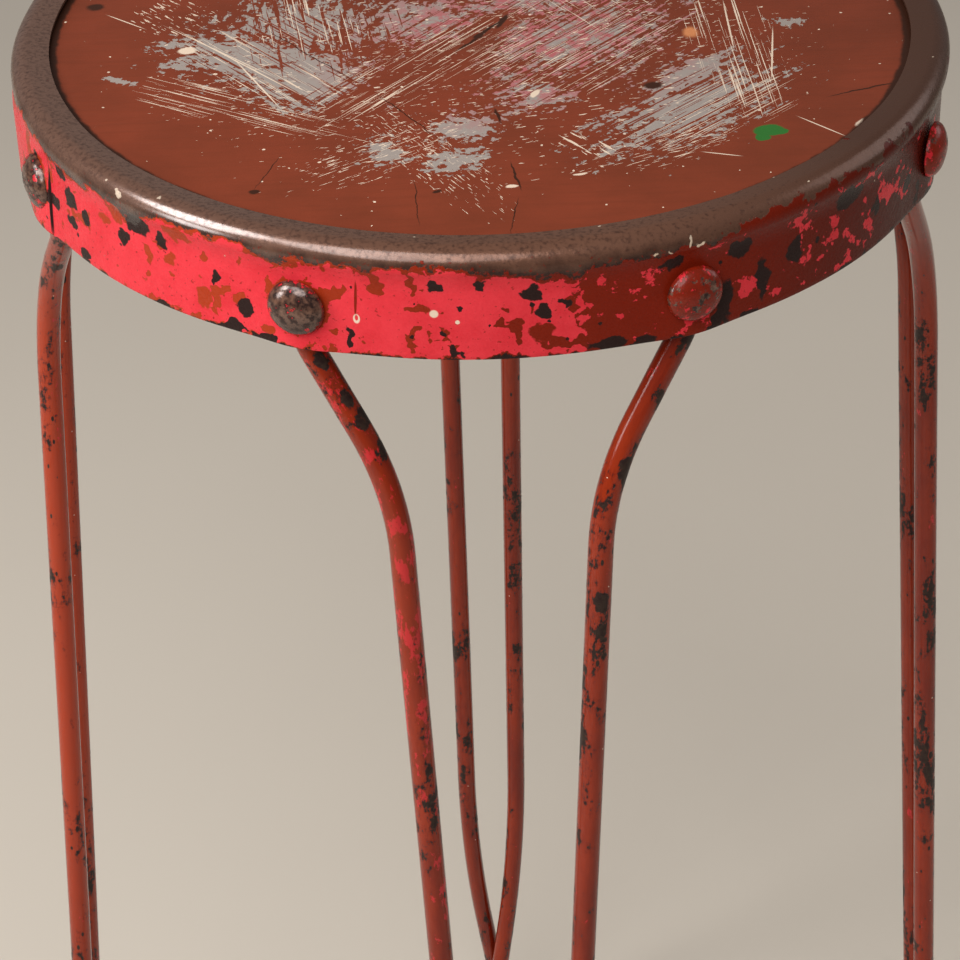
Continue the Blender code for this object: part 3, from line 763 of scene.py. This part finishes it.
def rod_finish(colours):
    """Brick red enamel on drawn steel rod, glossy, chipped to nearly black steel in streaks along it.

    The pattern follows the rod: two coordinates across it and one along it, all in metres.
    """
    material, tree, shader, place = new_finish("chipped enamel on steel rod")
    rod = add(tree, "ShaderNodeAttribute", attribute_name="rod_place").node.outputs["Vector"]
    drawn = add(tree, VECTOR_MATH, rod, (1.0, 1.0, 0.45), operation="MULTIPLY")
    streak = add(tree, NOISE, {"Vector": drawn, "Scale": per_metre(5), "Detail": 6.0, "Roughness": 0.7})
    fine = add(tree, NOISE, {"Vector": rod, "Scale": per_metre(1.8), "Detail": 4.0, "Roughness": 0.65})
    wear = add(tree, VECTOR_MATH, rod, (1.6, 1.6, 0.3), operation="MULTIPLY")
    wear = add(tree, NOISE, {"Vector": wear, "Scale": per_metre(20), "Detail": 2.0})

    # Wear by place, centres and half sizes: little on the left leg, chips on the front bends; the left
    # leg's place also carries painted light
    clean_and_lit_leg = region(tree, place, (-185, 0, 540), (60, 110, 320))
    clean_waist = region(tree, place, (37, -177, 640), (14, 14, 24))
    battered = [
        ((67, -164, 712), (6, 7, 6)), ((57, -168, 693), (4, 7, 9)), ((44.5, -173, 667), (3.5, 7, 8)),
        ((36, -180, 614), (5, 5, 6)), ((36, -181, 600), (4, 4, 5)), ((-61, -164, 712), (4, 6, 5)),
        ((-52, -166, 699), (4, 6, 6)), ((-47, -168, 690), (4, 6, 7)), ((-42, -171, 678), (3.5, 6, 8)),
    ]
    less = most(tree, [clean_and_lit_leg, clean_waist])
    more = most(tree, [region(tree, place, *where) for where in battered])
    chip = summed(tree, streak, [(wear, 0.75), (fine, 0.35), (less, -0.07), (more, 0.17)])
    chipped = add(tree, RANGE, chip, 1.15, 1.17)
    halo = add(tree, RANGE, chip, 1.07, 1.15, 0.0, 0.8)
    specks, chance = chance_cells(tree, drawn, 4)
    reach = add(tree, MATH, chance, 0.62, operation="SUBTRACT")
    reach = add(tree, MATH, reach, wear, operation="MULTIPLY")
    speck = add(tree, MATH, specks, reach, operation="LESS_THAN")
    chipped = most(tree, [chipped, speck])

    # Remains of the pinkish coat: crumbs all down the front left strand, few elsewhere
    remains = add(tree, NOISE, {"Vector": drawn, "Scale": per_metre(6), "Detail": 6.0, "Roughness": 0.72})
    near_rivet = oval_distance(tree, place, (-50, -170, 620), (45, 50, 160))
    pink_line = add(tree, RANGE, near_rivet, 0.5, 1.6, 0.535, 0.66)
    pink = add(tree, MATH, remains, pink_line, operation="GREATER_THAN")
    thin_pink = add(tree, MATH, pink, 0.65, operation="MULTIPLY")
    shade = add(tree, VECTOR_MATH, rod, (1.0, 1.0, 0.2), operation="MULTIPLY")
    shade = add(tree, NOISE, {"Vector": shade, "Scale": per_metre(18), "Detail": 6.0, "Roughness": 0.7})
    shade = add(tree, RANGE, shade, 0.38, 0.64)
    # Painted light: brighter enamel on the left leg, with less dull tone and the lit under coat colour;
    # the front right waist also has less dull tone
    brighter_enamel = add(tree, RANGE, less, 0.0, 1.0, 1.0, 0.3)
    shade = add(tree, MATH, shade, brighter_enamel, operation="MULTIPLY")
    bright = add(tree, MATH, clean_and_lit_leg, 0.7, operation="MULTIPLY")
    flecks = add(tree, CELLS, {"Vector": rod, "Scale": per_metre(9)})
    fleck = add(tree, MATH, flecks, 0.03, operation="LESS_THAN")
    rust = add(tree, RANGE, fine, 0.42, 0.6)
    steel = layered(tree, colours.rod_chip, [(rust, colours.dark_steel_and_shade)])
    enamel = layered(
        tree,
        colours.rod_enamel,
        [
            (shade, colours.rod_shade),
            (bright, colours.under_coat_lit),
            (thin_pink, colours.top_coat_faded),
            (halo, colours.rod_shade),
        ],
    )
    finish = layered(tree, enamel, [(chipped, steel), (fleck, colours.cream)])

    polish = add(tree, RANGE, chipped, 0.0, 1.0, 0.4, 0.1)
    gloss = add(tree, RANGE, chipped, 0.0, 1.0, 0.14, 0.4)
    relief = summed(tree, streak, [(chipped, -1.0), (fine, 0.4)])
    bump = add(tree, "ShaderNodeBump", {"Strength": 0.7, "Distance": 0.25 * MM, "Height": relief})
    looks = {
        "Base Color": finish,
        "Roughness": gloss,
        "Specular IOR Level": 0.12,
        "Coat Weight": polish,
        "Coat Roughness": 0.12,
        "Normal": bump,
    }
    fill(tree, shader, looks)
    return material


def rivet_finish(colours, sizes):
    """Forged steel rivet, rubbed to a dark lustre, with brick red paint low on it and red crumbs."""
    material, tree, shader, place = new_finish("forged steel rivet, rubbed")
    radial = from_axis(tree, place)
    patch = add(tree, NOISE, {"Vector": place, "Scale": per_metre(7), "Detail": 6.0, "Roughness": 0.65})
    pits = add(tree, NOISE, {"Vector": place, "Scale": per_metre(2.5), "Detail": 5.0, "Roughness": 0.65})
    seat = sizes.band_radius + sizes.gap
    apex = add(tree, RANGE, radial, seat, seat + sizes.rivet_dome)
    parts = add(tree, "ShaderNodeSeparateXYZ", {"Vector": place}).node.outputs
    height = parts["Z"]
    level = rivet_level()
    low = add(tree, RANGE, height, level - 9 * MM, level, 0.1, 0.0)
    right_side = add(tree, RANGE, parts["X"], 0.02, 0.06, 0.0, 0.2)
    left = summed(tree, patch, [(apex, -0.12), (low, 1.0)])
    crumbs = add(tree, MATH, left, 0.8, pits, operation="MULTIPLY_ADD")
    left = add(tree, MATH, left, right_side, operation="ADD")
    brick = add(tree, RANGE, left, 0.53, 0.55)
    red = add(tree, RANGE, crumbs, 0.95, 0.97)
    dark = add(tree, RANGE, pits, 0.37, 0.58, 0.0, 0.95)
    # Painted shade: the head is darker towards its lower side
    darkening = add(tree, RANGE, height, level - 8 * MM, level + 4 * MM, 0.85, 0.0)
    dark = most(tree, [dark, darkening])
    steel = layered(tree, colours.steel, [(dark, colours.dark_steel_and_shade)])
    brick_tone = layered(tree, colours.under_coat, [(dark, colours.rod_shade)])
    finish = layered(tree, steel, [(brick, brick_tone), (red, colours.top_coat_faded)])

    bare = add(tree, RANGE, brick, 0.0, 1.0, 0.25, 0.0)
    gloss = add(tree, RANGE, pits, 0.3, 0.7, 0.2, 0.36)
    polish = add(tree, RANGE, dark, 0.0, 1.0, 0.9, 0.15)
    under_paint = add(tree, RANGE, brick, 0.0, 1.0, 1.0, 0.25)
    polish = common(tree, [polish, under_paint])
    relief = add(tree, MATH, brick, pits, operation="ADD")
    bump = add(tree, "ShaderNodeBump", {"Strength": 0.6, "Distance": 0.2 * MM, "Height": relief})
    looks = {
        "Base Color": finish,
        "Metallic": bare,
        "Roughness": gloss,
        "Specular IOR Level": 0.15,
        "Coat Weight": polish,
        "Coat Roughness": 0.16,
        "Coat IOR": 1.8,
        "Normal": bump,
    }
    fill(tree, shader, looks)
    return material


def floor_finish(colours):
    """Plain pale studio floor, matt, with a faint unevenness."""
    material, tree, shader, place = new_finish("matt studio floor")
    drift = add(tree, NOISE, {"Vector": place, "Scale": per_metre(400), "Detail": 3.0})
    tone = add(tree, RANGE, drift, 0.0, 1.0, 0.0, 0.12)
    floor = layered(tree, colours.floor, [(tone, colours.primer)])
    fill(tree, shader, {"Base Color": floor, "Roughness": 0.85})
    return material


class STOOL_OT_board(bpy.types.Operator):
    """Makes the round board with its rounded rim"""

    bl_idname = "stool.board"
    bl_label = "Seat board"

    def execute(self, context):
        sizes = context.scene.stool_sizes
        bm = bmesh.new()
        bmesh.ops.create_circle(
            bm,
            cap_ends=True,
            segments=BOARD_SIDES,
            radius=sizes.board_radius,
            matrix=Matrix.Translation((0, 0, BOARD_LOW.z)),
        )
        raised = bmesh.ops.extrude_face_region(bm, geom=bm.faces[:])
        lifted = [part for part in raised["geom"] if isinstance(part, bmesh.types.BMVert)]
        bmesh.ops.translate(bm, verts=lifted, vec=(0, 0, BOARD_HIGH.z - BOARD_LOW.z))
        bmesh.ops.recalc_face_normals(bm, faces=bm.faces[:])
        rims = [edge for edge in bm.edges if edge.calc_face_angle() > math.radians(60)]
        bmesh.ops.bevel(
            bm, geom=rims, offset=sizes.board_edge, affect="EDGES", segments=3, profile=0.5, material=-1
        )
        add_piece("board", bm, board_finish(context.scene.stool_colours), "board", "seat_board")
        return {"FINISHED"}


class STOOL_OT_band(bpy.types.Operator):
    """Makes the rolled band with its lip, its lap and the bulges over the rod ends"""

    bl_idname = "stool.band"
    bl_label = "Seat band"

    def execute(self, context):
        sizes = context.scene.stool_sizes
        bm = spun(self.profile(sizes), BAND_STEPS)
        lap = math.radians(-90) + RIVET_SPREAD + (sizes.rivet_head / 2 + LAP_MARGIN) / sizes.band_radius
        for turn in (lap, lap + LAP_STEP / sizes.band_radius):
            across = around(turn + math.pi / 2)
            every = bm.verts[:] + bm.edges[:] + bm.faces[:]
            bmesh.ops.bisect_plane(bm, geom=every, plane_co=(0, 0, 0), plane_no=across, dist=WELD)
        for vert in bm.verts:
            self.press(sizes, vert, lap)
        edges = [edge for edge in bm.edges if edge.calc_face_angle(0.0) > math.radians(80)]
        bmesh.ops.bevel(
            bm, geom=edges, offset=BAND_EDGE, affect="EDGES", segments=2, profile=0.5, material=-1
        )
        add_piece("band", bm, band_finish(context.scene.stool_colours, sizes), "band", "seat_band")
        return {"FINISHED"}

    def profile(self, sizes):
        """Section of the band: up the wall, over the roll to the lip and back along the inside."""
        bend_x, bend_z = roll_centre(sizes)
        neck_z = bend_z - sizes.neck_drop
        opening = bend_x - sizes.lip_flat
        fall = math.degrees(math.atan2(sizes.lip_drop, sizes.lip_flat))
        wall = [BAND_LOW.z + (neck_z - BAND_LOW.z) * step / BEND_STEPS for step in range(BEND_STEPS + 1)]
        points = [(sizes.band_radius, z) for z in wall]
        points += arc(bend_x, bend_z, sizes.roll, -30, 90, BEND_STEPS)
        points.append((opening, BAND_HIGH.z - sizes.lip_drop))
        points.append((opening, BAND_HIGH.z - sizes.lip_drop - sizes.sheet))
        points += arc(bend_x, bend_z, sizes.roll - sizes.sheet, 90 + fall, -30, BEND_STEPS)
        return points + [(sizes.band_radius - sizes.sheet, z) for z in reversed(wall)]

    def press(self, sizes, vert, lap):
        """Moves a vertex out by the bulges, waves, sprung wall and lap, and up with the lifted lip."""
        bend_x, bend_z = roll_centre(sizes)
        azimuth = math.atan2(vert.co.x, -vert.co.y)
        outward = around(azimuth)
        reach = vert.co.dot(outward)
        fall = BAND_HIGH.z - vert.co.z
        out = band_bulge(sizes, azimuth, vert.co.z)
        out += BAND_WAVE * noise.noise(outward * 4.0)
        spring = sizes.lap_spring * math.exp(-0.5 * ((azimuth - SPRING_AZIMUTH) / SPRING_WIDTH) ** 2)
        out += spring * smooth_step(fall, sizes.roll, 2.5 * sizes.roll)
        lap_back = lap - LAP_RUN / sizes.band_radius
        if lap_back < azimuth < lap + LAP_STEP / 4 / sizes.band_radius:
            below_neck = bend_z - sizes.neck_drop - vert.co.z
            fade = smooth_step(azimuth, lap_back, lap) * smooth_step(below_neck, 0, sizes.roll)
            out += sizes.lap * fade
        lip = smooth_step(bend_x - reach, 0.0, sizes.lip_flat)
        lift = max(0.0, noise.noise(outward * 2.6 + Vector((3.1, 0.7, 0.0)))) + 0.1
        vert.co += outward * out + Vector((0, 0, lip * sizes.lip_lift * lift))


def strand_corners(sizes, side, waist, shoulder):
    """Corners of one strand from its rivet to the foot as (point, bend radius): along, outward, up."""
    middle = rod_middle(sizes)
    along = middle * math.sin(RIVET_SPREAD)
    outward = middle * math.cos(RIVET_SPREAD)
    tip = rivet_level() + sizes.rivet_to_end
    flare = BAND_LOW.z - FLARE_DROP
    waist_z = BAND_LOW.z - sizes.waist
    foot_z = sizes.rod / 2 - sizes.foot_wear
    cross_z = foot_z + sizes.eye_length
    waist_out = outward + (along - waist) * sizes.fold + (flare - waist_z) * sizes.splay
    shoulder_out = waist_out + (waist - shoulder) * sizes.fold + (waist_z - sizes.shoulder) * sizes.splay
    cross_out = shoulder_out + (sizes.shoulder - cross_z) * sizes.splay
    foot_out = cross_out + sizes.eye_length * sizes.splay
    eye = sizes.eye_width / 2
    eye_turn = math.pi / 2 + math.atan2(eye, sizes.eye_length)
    eye_bend = (eye - sizes.foot_flat / 2) / math.tan(eye_turn / 2)
    # At the crossing the strands pass by one another, in the eye they come together again
    weave = 0.58 * sizes.rod
    eye_weave = 0.17 * sizes.rod
    flare_bend, waist_bend, shoulder_bend, cross_bend = 12 * MM, 115 * MM, 900 * MM, 60 * MM
    return [
        (Vector((side * along, outward, tip)), 0.0),
        (Vector((side * along, outward, flare)), flare_bend),
        (Vector((side * waist, waist_out, waist_z)), waist_bend),
        (Vector((side * shoulder, shoulder_out, sizes.shoulder)), shoulder_bend),
        (Vector((0.0, cross_out + side * weave, cross_z)), cross_bend),
        (Vector((-side * eye, foot_out + side * eye_weave, foot_z)), eye_bend),
    ]


def bent_line(corners, spacing):
    """Centre line through the corners with each bend rounded, and a point at least every spacing."""
    points = [corners[0][0]]
    for before, here, after in zip(corners, corners[1:], corners[2:]):
        corner, radius = here
        back = (before[0] - corner).normalized()
        ahead = (after[0] - corner).normalized()
        turn = math.pi - back.angle(ahead)
        run = radius * math.tan(turn / 2)
        centre = corner + (back + ahead).normalized() * (radius / math.cos(turn / 2))
        first = corner + back * run - centre
        last = corner + ahead * run - centre
        count = max(2, math.ceil(radius * turn / spacing), math.ceil(turn / RING_TURN))
        for index in range(count + 1):
            share = index / count
            start = math.sin((1 - share) * turn) / math.sin(turn)
            end = math.sin(share * turn) / math.sin(turn)
            points.append(centre + first * start + last * end)
    points.append(corners[-1][0])
    line = [points[0]]
    for here, following in zip(points, points[1:]):
        count = max(1, math.ceil((following - here).length / spacing))
        line += [here.lerp(following, step / count) for step in range(1, count + 1)]
    return line


def rod_section(sizes, from_tip):
    """Half width and half thickness of the rod at a distance from its tip."""
    half_end = sizes.end_width / 2
    if from_tip < half_end:
        inset = half_end - max(from_tip, TIP_START)
        return math.sqrt(half_end ** 2 - inset ** 2), sizes.end_thickness / 2
    share = smooth_step(from_tip, sizes.full_flat, sizes.full_flat + sizes.taper)
    width = half_end + (sizes.rod / 2 - half_end) * share
    thickness = sizes.end_thickness / 2 + (sizes.rod - sizes.end_thickness) / 2 * share
    return width, thickness


class STOOL_OT_legs(bpy.types.Operator):
    """Makes the four legs, each one rod from a rivet round the foot to the next rivet"""

    bl_idname = "stool.legs"
    bl_label = "Rod legs"

    def execute(self, context):
        sizes = context.scene.stool_sizes
        finish = rod_finish(context.scene.stool_colours)
        for index, (name, azimuth) in enumerate(LEG_AZIMUTH.items()):
            gaps = [gap * MM for gap in LEG_HALF_GAPS[name]]
            bm = self.rod(sizes, gaps, index)
            out = around(math.radians(azimuth))
            along = around(math.radians(azimuth) + math.pi / 2)
            place = Matrix((along, out, (0, 0, 1))).transposed().to_4x4()
            bmesh.ops.transform(bm, matrix=place, verts=bm.verts[:])
            add_piece("rod_" + name, bm, finish, "leg_rod", "leg_" + name, crease=50)
        return {"FINISHED"}

    def rod(self, sizes, gaps, index):
        """Rings along the bent centre line, bridged, with the coordinates of the straight rod kept."""
        down = strand_corners(sizes, -1, *gaps)
        up = strand_corners(sizes, 1, *gaps)
        line = bent_line(down + up[::-1], RING_SPACING)
        total = sum((b - a).length for a, b in zip(line, line[1:]))
        end_shift = end_face(sizes) - rod_middle(sizes)
        bm = bmesh.new()
        straight = bm.verts.layers.float_vector.new("rod_place")
        rings = []
        travelled = 0.0
        for number, point in enumerate(line):
            before = line[max(number - 1, 0)]
            after = line[min(number + 1, len(line) - 1)]
            if number:
                travelled += (point - before).length
            heading = (after - before).normalized()
            from_tip = min(travelled, total - travelled)
            side = -1 if travelled < total / 2 else 1
            square = smooth_step(from_tip, sizes.full_flat, sizes.full_flat + sizes.waist)
            lean = side * RIVET_SPREAD * (1.0 - square)
            facing = Vector((math.sin(lean), math.cos(lean), 0.0))
            width, thickness = rod_section(sizes, from_tip)
            flat_share = (sizes.rod / 2 - thickness) / (sizes.rod / 2 - sizes.end_thickness / 2)
            shift = (end_shift - thickness) * flat_share
            out = (facing - heading * facing.dot(heading)).normalized()
            across = heading.cross(out).normalized()
            centre = point + out * shift
            columns = (across * width, out * thickness, heading)
            turned = Matrix.Translation(centre) @ Matrix(columns).transposed().to_4x4()
            circle = bmesh.ops.create_circle(
                bm, cap_ends=False, segments=ROD_SIDES, radius=1.0, matrix=turned
            )
            for vert in circle["verts"]:
                offset = vert.co - centre
                vert[straight] = (offset.dot(across), offset.dot(out), travelled + LEG_APART * index)
            rings.append({edge for vert in circle["verts"] for edge in vert.link_edges})
        for ring, following in zip(rings, rings[1:]):
            bmesh.ops.bridge_loops(bm, edges=list(ring | following))
        bmesh.ops.holes_fill(bm, edges=list(rings[0] | rings[-1]), sides=0)
        for vert in bm.verts:
            vert.co.z = max(0.0, vert.co.z)
        return bm


class STOOL_OT_rivets(bpy.types.Operator):
    """Makes the eight rivets, each with a domed head, a shank and a peened tail"""

    bl_idname = "stool.rivets"
    bl_label = "Rivets"

    def execute(self, context):
        sizes = context.scene.stool_sizes
        finish = rivet_finish(context.scene.stool_colours, sizes)
        seat = sizes.band_radius + sizes.gap
        level = rivet_level()
        tail_seat = end_face(sizes) - sizes.end_thickness - sizes.gap
        for number, azimuth in enumerate(rivet_azimuths()):
            push = band_bulge(sizes, azimuth, level)
            profile = [
                (0.0, tail_seat - sizes.rivet_tail_height),
                (sizes.rivet_tail * 0.3, tail_seat - sizes.rivet_tail_height * 0.9),
                (sizes.rivet_tail * 0.45, tail_seat - sizes.rivet_tail_height * 0.5),
                (sizes.rivet_tail / 2, tail_seat),
                (sizes.rivet_shank / 2, tail_seat),
                (sizes.rivet_shank / 2, seat + push),
            ]
            bm = spun(profile + self.head(sizes, seat + push), RIVET_STEPS)
            for vert in bm.verts:
                if vert.co.z > seat + push + sizes.rivet_rim:
                    dent = noise.noise(vert.co * per_metre(5) + Vector((number * 5.0, 0.0, 0.0)))
                    vert.co.z += RIVET_DENT * dent
            turn = around(azimuth).to_track_quat("Z", "Y").to_matrix().to_4x4()
            bmesh.ops.transform(bm, matrix=Matrix.Translation((0, 0, level)) @ turn, verts=bm.verts[:])
            name = "{:02d}".format(number + 1)
            add_piece("rivet_head_" + name, bm, finish, "rivet", "rivet_" + name, crease=50)
        return {"FINISHED"}

    def head(self, sizes, seat):
        """Profile of the head from its rim over the dome to its top."""
        half = sizes.rivet_head / 2
        dome = sizes.rivet_dome - sizes.rivet_rim
        points = [(half * 0.96, seat), (half, seat + sizes.rivet_rim / 2)]
        round_over = arc(0.0, 0.0, 1.0, 0, 90, BEND_STEPS)[:-1]
        points += [(half * x, seat + sizes.rivet_rim + dome * y) for x, y in round_over]
        return points + [(0.0, seat + sizes.rivet_dome)]


class STOOL_OT_stage(bpy.types.Operator):
    """Makes the floor, the lamps, the world and the camera"""

    bl_idname = "stool.stage"
    bl_label = "Stage"

    def execute(self, context):
        scene = context.scene
        scene.view_settings.view_transform = "Standard"
        self.floor(scene)
        for lamp in LAMPS:
            self.lamp(*lamp)
        world = bpy.data.worlds.new("studio")
        world.use_nodes = True
        sky = world.node_tree
        fill(sky, sky.nodes["Background"], {"Color": SKY, "Strength": SKY_STRENGTH})
        scene.world = world
        self.camera(scene)
        return {"FINISHED"}

    def floor(self, scene):
        """A plain floor at the feet, part of the stage."""
        bm = bmesh.new()
        bmesh.ops.create_grid(bm, x_segments=1, y_segments=1, size=5.0)
        mesh = bpy.data.meshes.new("floor")
        bm.to_mesh(mesh)
        bm.free()
        mesh.materials.append(floor_finish(scene.stool_colours))
        floor = bpy.data.objects.new("floor", mesh)
        scene.collection.objects.link(floor)

    def lamp(self, name, azimuth, elevation, distance, size, watts):
        """A round soft lamp aimed at the seat, angles in degrees and lengths in metres."""
        light = bpy.data.lights.new(name, "AREA")
        light.shape = "DISK"
        light.size = size
        light.energy = watts
        lamp = bpy.data.objects.new(name, light)
        rise = math.radians(elevation)
        beam = around(math.radians(azimuth)) * math.cos(rise) + Vector((0, 0, math.sin(rise)))
        lamp.location = Vector((0, 0, BAND_LOW.z)) + beam * distance
        lamp.rotation_euler = beam.to_track_quat("Z", "Y").to_euler()
        bpy.context.scene.collection.objects.link(lamp)

    def camera(self, scene):
        """The camera at its place round the seat, turned by pitch, yaw and roll."""
        view = scene.stool_camera
        level = Vector((0, 0, BAND_HIGH.z - scene.stool_sizes.lip_drop))
        turn = Matrix.Rotation(view.turn, 3, "Z")
        spot_from = Vector((0, -math.cos(view.elevation), math.sin(view.elevation))) * view.distance
        ahead = Vector((
            math.sin(view.yaw) * math.cos(view.pitch),
            math.cos(view.yaw) * math.cos(view.pitch),
            -math.sin(view.pitch),
        ))
        right = Vector((math.cos(view.yaw), -math.sin(view.yaw), 0.0))
        up = right.cross(ahead)
        leaned_right = right * math.cos(view.roll) + up * math.sin(view.roll)
        leaned_up = up * math.cos(view.roll) - right * math.sin(view.roll)
        axes = Matrix((turn @ leaned_right, turn @ leaned_up, turn @ -ahead)).transposed()
        data = bpy.data.cameras.new("camera")
        data.sensor_width = 36.0
        data.lens = view.lens
        camera = bpy.data.objects.new("camera", data)
        camera.matrix_world = Matrix.Translation(level + turn @ spot_from) @ axes.to_4x4()
        scene.collection.objects.link(camera)
        scene.camera = camera


class STOOL_PT_panel(bpy.types.Panel):
    """Lists the pieces of the stool in the sidebar"""

    bl_label = "Worn wire stool"
    bl_idname = "STOOL_PT_panel"
    bl_space_type = "VIEW_3D"
    bl_region_type = "UI"
    bl_category = "Stool"

    def draw(self, context):
        for operator in OPERATORS:
            self.layout.operator(operator.bl_idname)
        for group in GROUPS:
            settings = getattr(context.scene, group)
            column = self.layout.column()
            for name in settings.bl_rna.properties.keys():
                if name not in {"rna_type", "name"}:
                    column.prop(settings, name)


OPERATORS = (STOOL_OT_board, STOOL_OT_band, STOOL_OT_legs, STOOL_OT_rivets, STOOL_OT_stage)
GROUPS = {"stool_sizes": StoolSizes, "stool_colours": StoolColours, "stool_camera": StoolCamera}


def register():
    """Registers the classes and gives the scene its settings."""
    for kind in (*GROUPS.values(), *OPERATORS, STOOL_PT_panel):
        bpy.utils.register_class(kind)
    for name, kind in GROUPS.items():
        setattr(bpy.types.Scene, name, PointerProperty(type=kind))


def unregister():
    """Takes the settings and the classes away again."""
    for name in GROUPS:
        delattr(bpy.types.Scene, name)
    for kind in reversed((*GROUPS.values(), *OPERATORS, STOOL_PT_panel)):
        bpy.utils.unregister_class(kind)


def main():
    """Builds the stool and its stage."""
    register()
    bpy.ops.stool.board()
    bpy.ops.stool.band()
    bpy.ops.stool.legs()
    bpy.ops.stool.rivets()
    bpy.ops.stool.stage()


if __name__ == "__main__":
    main()
